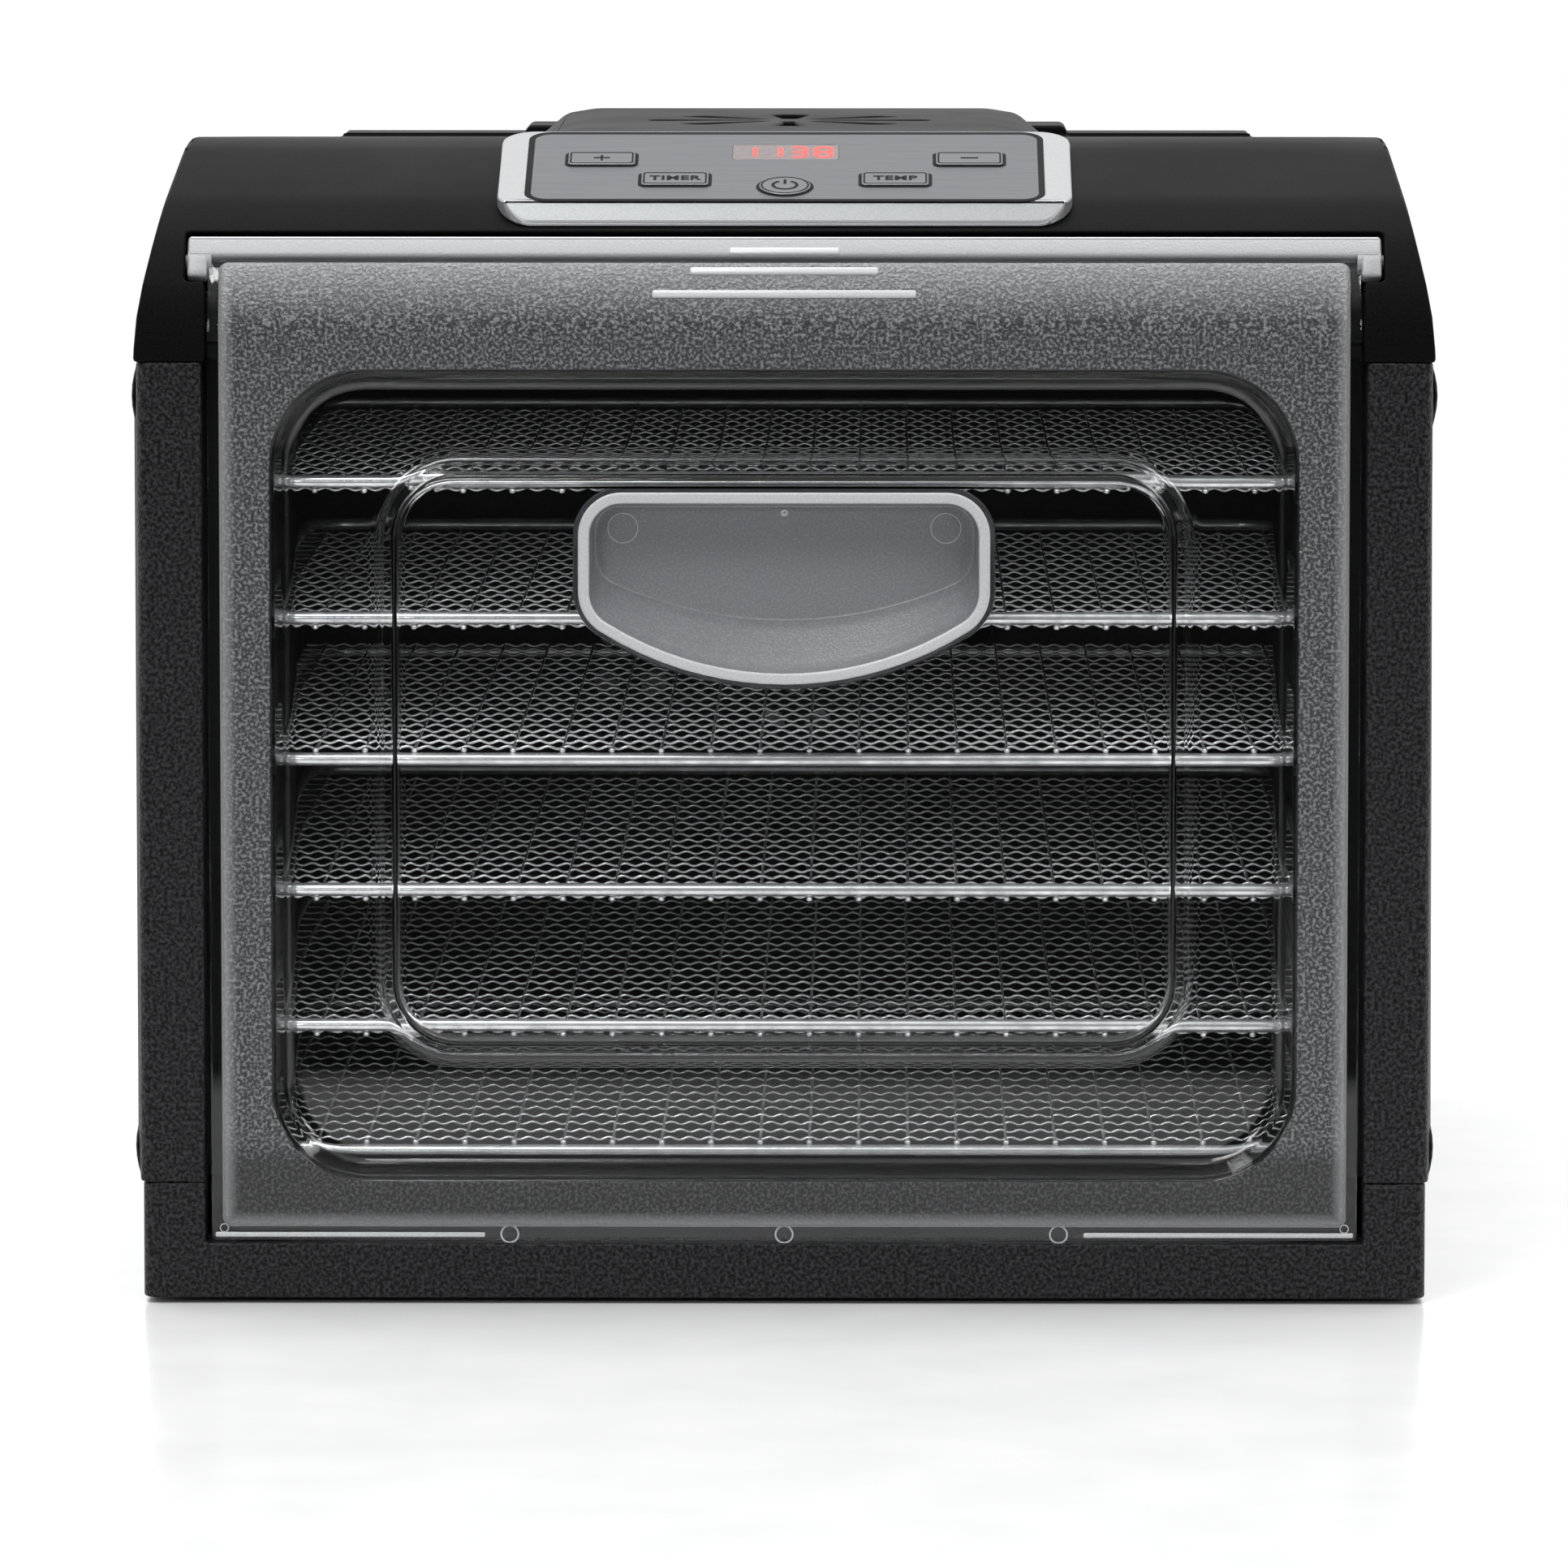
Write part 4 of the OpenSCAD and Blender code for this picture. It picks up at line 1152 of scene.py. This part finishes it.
    def ring_mark(self, x: float, y: float, s: float, radius: float, wire: float) -> Piece:
        """Make the raised ring that an ejector pin leaves.

        Args:
            x: its place across.
            y: the depth of its middle.
            s: its height in the flat pattern.
            radius: the ring's radius.
            wire: the radius of its section.

        Returns:
            The ring.
        """
        around, section = 28, 6
        points = []
        for i in range(around):
            a = 2 * math.pi * i / around
            for j in range(section):
                b = 2 * math.pi * j / section
                out, depth = radius + wire * math.cos(b), y + wire * math.sin(b)
                points.append(self.at(x + out * math.cos(a), depth, s + out * math.sin(a)))
        return add_piece("ring_mark", points, tube_faces(around, section), [Kit.RAISED])

    def strip(self) -> list[Piece]:
        """Make the grooved hanging strip with its ears and hinge pins."""
        low, high, half, reach = self.strip_low, self.strip_high, self.leaf.half, self.ear_half
        ends = (-reach, 0, low), (reach, self.back, high)
        parts = [self.bar("strip", *ends, self.strip_edge, Kit.HANDLE, 8, True)]
        for side in (-1, 1):
            inner, outer = sorted((side * (half + 0.1), side * (reach - 0.05)))
            ends = (inner, 0.1, self.ear_low), (outer, self.back - 0.1, low + 0.6)
            parts.append(self.bar("ear", *ends, self.ear_edge, Kit.HANDLE, 3))
            parts.append(self.pin(side * (half - 1), side * (reach - 0.1), self.boss_radius))
            parts.append(self.pin(side * (reach - 1), side * self.pin_end, self.pin_radius))
        return parts

    def grips_and_glints(self) -> list[Piece]:
        """Make the raised grip lines, and light bars at the door's foot and along its top edge as
        painted highlights.
        """
        lines = [
            self.bar("grip_line", (-span, -0.5, s - 1.1), (span, 1.0, s + 1.1), 0.6, Kit.RAISED, 2)
            for span, s in self.grip_lines
        ]
        # Painted highlights: light bars where the ledges at the door's foot catch the light.
        for middle in (-self.foot_ledge_glint, self.foot_ledge_glint):
            ends = (middle - 36.0, 1.4, 16.1), (middle + 36.0, 2.6, 17.5)
            lines.append(self.bar("foot_ledge_glint", *ends, 0.4, Kit.RAISED, 1))
        # Painted highlight: a light bar where the rounded top edge catches the light from above.
        reach, high = self.ear_half - 0.6, self.strip_high
        ends = (-reach, -0.05, high - 1.0), (reach, 0.5, high - 0.25)
        return lines + [self.bar("edge", *ends, 0.25, Kit.RAISED, 2)]

    def marks(self) -> list[Piece]:
        """Make the rings that ejector pins leave on the handle's floor and along the foot."""
        bed, step = self.floor_front, self.step
        rings = [(x, bed, 205.2, 4.0, 0.14) for x in (-43.0, 43.0)]
        rings.append((0.0, bed, 209.4, 0.6, 0.5))
        rings += [(x, step, 18.6, 1.1, 0.15) for x in (-149.4, 149.4)]
        rings += [(x, step, 17.0, 2.3, 0.25) for x in (-73.2, 0.0, 73.2)]
        return [self.ring_mark(*ring) for ring in rings]

    def build(self) -> list[Piece]:
        """Make the leaf, its hanging strip, ears, grip lines and mould marks.

        Returns:
            The door's pieces.
        """
        leaf = self.panel()
        pieces = [
            leaf,
            join_mesh("door_hanging_strip", self.strip()),
            join_mesh("door_grip_lines_and_glints", self.grips_and_glints()),
            join_mesh("door_mould_marks", self.marks()),
        ]
        for piece in pieces:
            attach(piece, self.body)
        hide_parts("door_panel")
        return pieces


# ---------------------------------------------------------------------------
# Trays
# ---------------------------------------------------------------------------


@dataclass
class Trays:
    """Six chromed wire trays, each with a crimped mesh welded to its frame."""

    count: int = 6
    pitch: float = 13.2
    row_pitch: float = 15.4
    wire: float = 0.85
    wave_length: float = 5.4
    wave_height: float = 0.8
    frame_wire: float = 3.5
    bead: float = 0.95
    samples: int = 6
    plain_end: float = 6.0

    def wire_tree(self) -> Tree:
        """Build the tree that lays parallel crimped wires.

        Returns:
            The node tree, with named inputs for its sizes.
        """
        tree = bpy.data.node_groups.new("parallel crimped wires", "GeometryNodeTree")
        face = tree.interface
        face.new_socket(name="Wires", in_out="OUTPUT", socket_type="NodeSocketGeometry")
        for name in ("Length", "Pitch", "Wave length", "Wave height", "Wire radius", "Plain end"):
            face.new_socket(name=name, in_out="INPUT", socket_type="NodeSocketFloat")
        for name in ("Wires across", "Points"):
            face.new_socket(name=name, in_out="INPUT", socket_type="NodeSocketInt")
        face.new_socket(name="Finish", in_out="INPUT", socket_type="NodeSocketMaterial")
        given = add_node(tree, "NodeGroupInput").outputs

        def add(kind: str, inputs: Optional[dict] = None, **settings: Any) -> Socket:
            """Add a node and give its first output."""
            return add_node(tree, kind, inputs, **settings).outputs[0]

        def calc(operation: str, first: Any, second: Any = 0.0) -> Socket:
            """Add one sum."""
            return add("ShaderNodeMath", {0: first, 1: second}, operation=operation)

        half = calc("MULTIPLY", given["Length"], 0.5)
        start = add("ShaderNodeCombineXYZ", {"X": calc("MULTIPLY", half, -1.0)})
        end = add("ShaderNodeCombineXYZ", {"X": half})
        line = add("GeometryNodeCurvePrimitiveLine", {"Start": start, "End": end})
        fine = add("GeometryNodeResampleCurve", {"Curve": line, "Count": given["Points"]})
        along = add("ShaderNodeSeparateXYZ", {0: add("GeometryNodeInputPosition")})
        turn = calc("MULTIPLY", calc("DIVIDE", along, given["Wave length"]), 2 * math.pi)
        fade = calc("DIVIDE", calc("SUBTRACT", half, calc("ABSOLUTE", along)), given["Plain end"])
        fade = add("ShaderNodeClamp", {0: calc("SUBTRACT", fade, 1.0)})
        height = calc("MULTIPLY", calc("MULTIPLY", given["Wave height"], 0.5), calc("SINE", turn))
        offset = add("ShaderNodeCombineXYZ", {"Z": calc("MULTIPLY", height, fade)})
        crimped = add("GeometryNodeSetPosition", {"Geometry": fine, "Offset": offset})
        section = {"Resolution": 5, "Radius": given["Wire radius"]}
        circle = add("GeometryNodeCurvePrimitiveCircle", section)
        sweep = {"Curve": crimped, "Profile Curve": circle, "Fill Caps": True}
        drawn = add("GeometryNodeCurveToMesh", sweep)
        span = calc("MULTIPLY", calc("SUBTRACT", given["Wires across"], 1.0), given["Pitch"])
        first = add("ShaderNodeCombineXYZ", {"Y": calc("MULTIPLY", span, -0.5)})
        step = add("ShaderNodeCombineXYZ", {"Y": given["Pitch"]})
        row = {"Count": given["Wires across"], "Start Location": first, "Offset": step}
        places = add("GeometryNodeMeshLine", row)
        odd = calc("MODULO", add("GeometryNodeInputIndex"), 2.0)
        flip = add("ShaderNodeCombineXYZ", {"X": calc("MULTIPLY", odd, math.pi)})
        laying = {"Points": places, "Instance": drawn, "Rotation": flip}
        laid = add("GeometryNodeInstanceOnPoints", laying)
        whole = add("GeometryNodeRealizeInstances", {"Geometry": laid})
        dress = {"Geometry": whole, "Material": given["Finish"]}
        add_node(tree, "NodeGroupOutput", {0: add("GeometryNodeSetMaterial", dress)})
        return tree

    def wires(
        self, tree: Tree, name: str, length: float, across: int, pitch: float, wave: float = 0.0
    ) -> Piece:
        """Lay one set of parallel wires.

        Args:
            tree: the tree from wire_tree.
            name: the set's name.
            length: the wires' length.
            across: how many wires.
            pitch: the distance between them.
            wave: the height of the crimp.

        Returns:
            The set, along X, centred on the origin, in metres.
        """
        piece = link_object(name, bpy.data.meshes.new(name))
        modifier = piece.modifiers.new("wires", "NODES")
        modifier.node_group = tree
        points = int(length / self.wave_length * self.samples) + 1 if wave else 2
        given = {
            "Length": length * MM,
            "Pitch": pitch * MM,
            "Wave length": self.wave_length * MM,
            "Wave height": wave * MM,
            "Wire radius": self.wire / 2 * MM,
            "Plain end": self.plain_end / 2 * MM,
            "Wires across": across,
            "Points": points,
            "Finish": Kit.CHROME.material,
        }
        for socket in tree.interface.items_tree:
            if socket.in_out == "INPUT":
                modifier[socket.identifier] = given[socket.name]
        bake_modifiers(piece)
        return piece

    def beads(self, across: int, y: float) -> Piece:
        """Make the weld beads where the long wires end on the front wire."""
        work = bmesh.new()
        for i in range(across):
            x = (i - (across - 1) / 2) * self.pitch * MM
            place = Matrix.Translation((x, y * MM, 0)) @ Matrix.Diagonal((1, 1, 0.8, 1))
            bmesh.ops.create_icosphere(work, subdivisions=2, radius=self.bead * MM, matrix=place)
        mesh = bpy.data.meshes.new("beads")
        work.to_mesh(mesh)
        work.free()
        mesh.materials.append(Kit.CHROME.material)
        return link_object("beads", mesh)

    def build(self) -> list[Piece]:
        """Weave each tray's mesh and polish its frame.

        Returns:
            The trays' pieces.
        """
        low, high = SHELL.low("tray_1_frame"), SHELL.high("tray_1_frame")
        width, depth = high.x - low.x - self.frame_wire, high.y - low.y - self.frame_wire
        across = int((width - 2) / self.pitch) + 1
        along = int((depth - 8) / self.row_pitch) + 1
        tree = self.wire_tree()
        pattern = join_mesh(
            "mesh_pattern",
            [
                self.wires(tree, "cross_wires", width, along, self.row_pitch, self.wave_height),
                self.turned(self.wires(tree, "long_wires", depth, across, self.pitch)),
                self.beads(across, -depth / 2),
            ],
        )
        smooth_by_angle(pattern.data, 75.0)
        pieces = []
        for k in range(1, self.count + 1):
            body = f"tray_{k}"
            pieces.append(smooth_copy(f"{body}_frame", Kit.CHROME, body))
            middle = (SHELL.low(f"{body}_mesh").z + SHELL.high(f"{body}_mesh").z) / 2
            woven = link_object(f"{body}_woven", pattern.data.copy())
            woven.data.transform(Matrix.Translation(SHELL.at(0, (low.y + high.y) / 2, middle)))
            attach(woven, body)
            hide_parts(f"{body}_mesh")
            pieces.append(woven)
        bpy.data.objects.remove(pattern)
        return pieces

    @staticmethod
    def turned(piece: Piece) -> Piece:
        """Turn a set of wires to run along Y."""
        piece.data.transform(Matrix.Rotation(math.pi / 2, 4, "Z"))
        return piece


# ---------------------------------------------------------------------------
# Control panel
# ---------------------------------------------------------------------------


@dataclass
class ControlPanel:
    """Silver bezel, brushed overlay, five keys and the red display, on the sloping front."""

    slope: float = math.radians(17.0)
    edge_z: float = 284.6
    key_top: float = 3.2
    key_size: Flat = (17.0, 8.8)
    overlay_top: float = 2.6
    legend_rise: float = 0.05
    legend_depth: float = 0.3
    high_key: Flat = (49.3, 49.5)
    low_key: Flat = (29.4, 33.4)
    power_key: Flat = (0.0, 27.9)
    display: Flat = (0.0, 55.8)
    digits: str = "1138"
    digit_size: Flat = (4.0, 7.6)
    digit_step: float = 6.8
    segment: float = 1.4
    bezel_edge: float = 0.8
    overlay_edge: float = 0.2
    lens_edge: float = 0.15
    key_edge: float = 0.35
    key_line: float = 0.45
    round_key: tuple[Flat, float] = ((12.9, 12.9), 6.44)
    key_corner: float = 1.1
    word_height: float = 3.2
    keys: Sequence[str] = ("key_plus", "key_minus", "key_timer", "key_temp", "key_power")

    CAPITAL_SHARE = 0.7
    SEGMENTS = {"1": "bc", "3": "abcdg", "8": "abcdefg"}

    def at(self, x: float, v: float, w: float) -> Point:
        """Place a point from its place across, up the slope and out of it."""
        sin, cos = math.sin(self.slope), math.cos(self.slope)
        return SHELL.at(x, v * cos - w * sin, self.edge_z + v * sin + w * cos)

    @property
    def key_places(self) -> list[Flat]:
        """The middles of the keys, in the order of their names."""
        (hx, hv), (lx, lv) = self.high_key, self.low_key
        return [(-hx, hv), (hx, hv), (-lx, lv), (lx, lv), self.power_key]

    def line_section(self, outer: float, width: float, base: float) -> list[Flat]:
        """Give the corners of a printed line's section, as (radius, height)."""
        foot, top = base - self.legend_depth, base + self.legend_rise
        return [(outer - width, foot), (outer, foot), (outer, top), (outer - width, top)]

    def plate(
        self, name: str, outline: Sequence[Flat], low: float, high: float, finish: Kit
    ) -> Piece:
        """Make a thin plate from an outline.

        Args:
            name: the plate's name.
            outline: its corners, (across, up the slope).
            low: height of its underside out of the slope.
            high: height of its top.
            finish: the plate's finish.

        Returns:
            The plate.
        """
        points = [self.at(x, v, w) for w in (low, high) for x, v in outline]
        return add_piece(name, points, tube_faces(2, len(outline), False), [finish])

    def bars(self, name: str, middle: Flat, sizes: Sequence[Flat], base: float) -> Piece:
        """Print one or more rectangles on the same middle."""
        foot, top = base - self.legend_depth, base + self.legend_rise
        plates = []
        for width, height in sizes:
            signs = ((-1, -1), (1, -1), (1, 1), (-1, 1))
            corners = [(middle[0] + a * width / 2, middle[1] + b * height / 2) for a, b in signs]
            plates.append(self.plate("bar", corners, foot, top, Kit.INK_AND_SHADE))
        return join_mesh(name, plates)

    def arc(self, centre: Flat, radius: float, width: float, gap: float, base: float) -> Piece:
        """Print an arc that is open at the top by a gap angle."""
        steps = 48
        section = self.line_section(radius + width / 2, width, base)
        points = []
        for i in range(steps + 1):
            a = math.pi / 2 + gap / 2 + (2 * math.pi - gap) * i / steps
            sin, cos = math.sin(a), math.cos(a)
            points += [self.at(centre[0] + r * cos, centre[1] + r * sin, w) for r, w in section]
        return add_piece("arc", points, tube_faces(steps + 1, len(section), False), [Kit.INK_AND_SHADE])

    def lettering(self, word: str, centre: Flat, height: float, base: float) -> Piece:
        """Print a word.

        Args:
            word: the word.
            centre: its middle.
            height: the height of its capitals.
            base: the height of the printed surface out of the slope.

        Returns:
            The word as a thin closed mesh.
        """
        text = bpy.data.curves.new(word, "FONT")
        text.body = word
        text.size = height / self.CAPITAL_SHARE
        text.align_x, text.align_y = "CENTER", "CENTER"
        text.space_character = 1.1
        text.offset = 0.17
        text.extrude = (self.legend_rise + self.legend_depth) / 2
        text.resolution_u = 3
        writer = link_object(word, text)
        graph = bpy.context.evaluated_depsgraph_get()
        mesh = bpy.data.meshes.new_from_object(writer.evaluated_get(graph))
        middle = Vector((*centre, base + (self.legend_rise - self.legend_depth) / 2))
        points = [self.at(*(middle + v.co)) for v in mesh.vertices]
        faces = [list(p.vertices) for p in mesh.polygons]
        bpy.data.objects.remove(writer)
        return add_piece("legend_" + word.lower(), points, faces, [Kit.INK_AND_SHADE])

    def legends(self) -> list[Piece]:
        """Print each key's sign.

        Returns:
            The signs, each riding on its key.
        """
        top, word = self.key_top, self.word_height
        plus, minus, timer, temp, power = self.key_places
        tick = (power[0], power[1] + 2.6)
        power_parts = [
            self.arc(power, 3.2, 0.85, 1.0, top),
            self.bars("tick", tick, [(0.8, 3.4)], top),
        ]
        signs = (
            self.bars("legend_plus", plus, [(4.4, 0.9), (0.6, 4.2)], top),
            self.bars("legend_minus", minus, [(4.7, 0.9)], top),
            self.lettering("TIMER", timer, word, top),
            self.lettering("TEMP", temp, word, top),
            join_mesh("legend_power", power_parts),
        )
        prints = []
        for key, sign, middle in zip(self.keys, signs, self.key_places):
            is_round = key == "key_power"
            size, radius = self.round_key if is_round else (self.key_size, self.key_corner)
            line = self.frame_line(middle, size, radius, self.key_line, top)
            prints.append(join_mesh(sign.name + "_print", [sign, line]))
            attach(prints[-1], key)
        return prints

    def frame_line(
        self, centre: Flat, size: Flat, radius: float, width: float, base: Optional[float] = None
    ) -> Piece:
        """Draw a thin dark rounded frame: a printed outline round a key, and also the painted shade
        round the overlay.

        Args:
            centre: its middle.
            size: its outer width and height.
            radius: its outer corner radius.
            width: the width of its line.
            base: the height of the printed surface, which is the overlay's if it isn't given.

        Returns:
            The frame.
        """
        steps = 8
        outline: list[tuple[float, float, float, float]] = []
        for quarter, (sx, sv) in enumerate(((1, -1), (1, 1), (-1, 1), (-1, -1))):
            cx = centre[0] + sx * (size[0] / 2 - radius)
            cv = centre[1] + sv * (size[1] / 2 - radius)
            for i in range(steps + 1):
                a = math.pi / 2 * (quarter - 1 + i / steps)
                outline.append((cx, cv, math.cos(a), math.sin(a)))
        section = self.line_section(radius, width, self.overlay_top if base is None else base)
        points = [
            self.at(cx + r * c, cv + r * s, w) for cx, cv, c, s in outline for r, w in section
        ]
        return add_piece("frame_line", points, tube_faces(len(outline), len(section)), [Kit.INK_AND_SHADE])

    def outlines_and_gap_shade(self) -> Piece:
        """Print the dark line round each key, and paint the shade in the gap round the overlay as a
        dark line.
        """
        *corner_keys, power = self.key_places
        # Painted shade: the wide dark ring round the overlay stands for the shadowed gap between
        # the overlay and the bezel.
        lines = [self.frame_line((0, 44.25), (138.6, 55.1), 6.2, 1.7)]
        lines += [self.frame_line(key, (19.7, 11.4), 2.0, 0.8) for key in corner_keys]
        lines.append(self.frame_line(power, (15.4, 15.4), 7.69, 0.75))
        return join_mesh("key_outlines_and_gap_shade", lines)

    def figures(self) -> Piece:
        """Light the display's digits: each segment is a hexagonal bar.

        Returns:
            The lit segments as one piece.
        """
        width, height = self.digit_size
        thick, gap = self.segment / 2, 0.12
        places = {
            "a": (0, height / 2, True),
            "g": (0, 0, True),
            "d": (0, -height / 2, True),
            "f": (-width / 2, height / 4, False),
            "b": (width / 2, height / 4, False),
            "e": (-width / 2, -height / 4, False),
            "c": (width / 2, -height / 4, False),
        }
        plates = []
        for i, digit in enumerate(self.digits):
            x0 = self.display[0] + (i - (len(self.digits) - 1) / 2) * self.digit_step
            for name in self.SEGMENTS[digit]:
                x, v, level = places[name]
                reach = (width if level else height / 2) / 2 - gap
                hexagon = [(-reach, 0), (-reach + thick, -thick), (reach - thick, -thick)]
                hexagon += [(reach, 0), (reach - thick, thick), (-reach + thick, thick)]
                if not level:
                    hexagon = [(b, a) for a, b in hexagon]
                outline = [(x0 + x + a, self.display[1] + v + b) for a, b in hexagon]
                foot, top = self.overlay_top - 0.2, self.overlay_top + 0.03
                plates.append(self.plate("segment", outline, foot, top, Kit.LED))
        return join_mesh("display_figures", plates)

    def build(self) -> list[Piece]:
        """Soften the panel's nodes and print its legends.

        Returns:
            The panel's pieces.
        """
        pieces = [
            soften("control_bezel", Kit.SILVER, self.bezel_edge),
            soften("control_overlay", Kit.OVERLAY, self.overlay_edge),
            soften("display_lens", Kit.LENS, self.lens_edge),
            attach(self.figures(), "housing"),
            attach(self.outlines_and_gap_shade(), "housing"),
        ]
        finish_nodes(Kit.LED_CASE, "display_module")
        pieces += [soften(key, Kit.KEYS, self.key_edge, key) for key in self.keys]
        return pieces + self.legends()


# ---------------------------------------------------------------------------
# Studio
# ---------------------------------------------------------------------------


@dataclass
class Studio:
    """Pale floor, soft lights and the camera."""

    camera_at: Point = (26.0, -2850.0, 430.0)
    aim: Point = (0.0, 0.0, 138.0)
    lens: float = 247.7
    view_end: float = 50.0
    floor: float = 40.0
    lamp_aim: Point = (0.0, 150.0, 150.0)
    dark_level: float = 0.06
    bright_level: float = 1.3

    # Name, place in the maker's frame, size in metres and power in watts.
    LAMPS = (
        ("key", (-600.0, -900.0, 1700.0), (1.1, 0.35), 15.0),
        ("fill", (1000.0, -900.0, 1300.0), (0.9, 0.35), 7.0),
        ("top", (0.0, 150.0, 1700.0), (1.4, 0.6), 14.0),
        ("front_left", (-900.0, -2500.0, 800.0), (0.5, 0.4), 9.0),
        ("front_right", (1100.0, -2400.0, 700.0), (0.5, 0.4), 6.0),
    )

    @staticmethod
    def stand(thing: Piece, place: Point, aim: Point) -> None:
        """Stand a camera or a lamp at a place, turned to another one."""
        start, end = Vector(SHELL.at(*place)), Vector(SHELL.at(*aim))
        thing.location = start
        thing.rotation_euler = (end - start).to_track_quat("-Z", "Y").to_euler()

    def camera(self) -> None:
        """Place the camera."""
        data = bpy.data.cameras.new("camera")
        data.lens = self.lens
        data.clip_end = self.view_end
        camera = link_object("camera", data)
        self.stand(camera, self.camera_at, self.aim)
        bpy.context.scene.camera = camera

    def lamp(self, name: str, place: Point, size: Flat, power: float) -> None:
        """Hang a soft box that faces the appliance.

        Args:
            name: the lamp's name.
            place: where it hangs, in the maker's frame.
            size: its width and height in metres.
            power: its power in watts.
        """
        data = bpy.data.lights.new(name, "AREA")
        data.shape = "RECTANGLE"
        data.size, data.size_y = size
        data.energy = power
        self.stand(link_object(name, data), place, self.lamp_aim)

    def room(self) -> None:
        """Light the white room, which is dark behind the camera and bright behind and above."""
        world = bpy.data.worlds.new("studio")
        world.use_nodes = True
        tree = world.node_tree
        depth, height = (place_along(tree, axis, "Generated") for axis in "YZ")
        back = ramp(tree, depth, -0.6, 0.15, self.dark_level, self.bright_level)
        above = ramp(tree, height, 0.35, 0.9)
        level = add_node(tree, "ShaderNodeMath", {0: back, 1: above}, operation="MAXIMUM")
        backdrop = tree.nodes["Background"].inputs
        tree.links.new(level.outputs[0], backdrop["Strength"])
        backdrop["Color"].default_value = linear("ffffff")
        bpy.context.scene.world = world
        bpy.context.scene.view_settings.view_transform = "Standard"

    def build(self) -> None:
        """Lay the floor, light the room and place the camera."""
        edge = self.floor
        corners = [(-edge, -edge, 0), (edge, -edge, 0), (edge, edge, 0), (-edge, edge, 0)]
        floor = add_piece("floor", corners, [(0, 1, 2, 3)], [Kit.FLOOR])
        self.room()
        for lamp in self.LAMPS:
            self.lamp(*lamp)
        self.camera()


def main() -> None:
    """Build the appliance, its stage and its camera."""
    logging.basicConfig(level=logging.INFO, format="%(name)s: %(message)s")
    for assembly in (Housing(), Door(), Trays(), ControlPanel()):
        for piece in assembly.build():
            log.info("%s has %d faces", piece.name, len(piece.data.polygons))
    Studio().build()


if __name__ == "__main__":
    main()
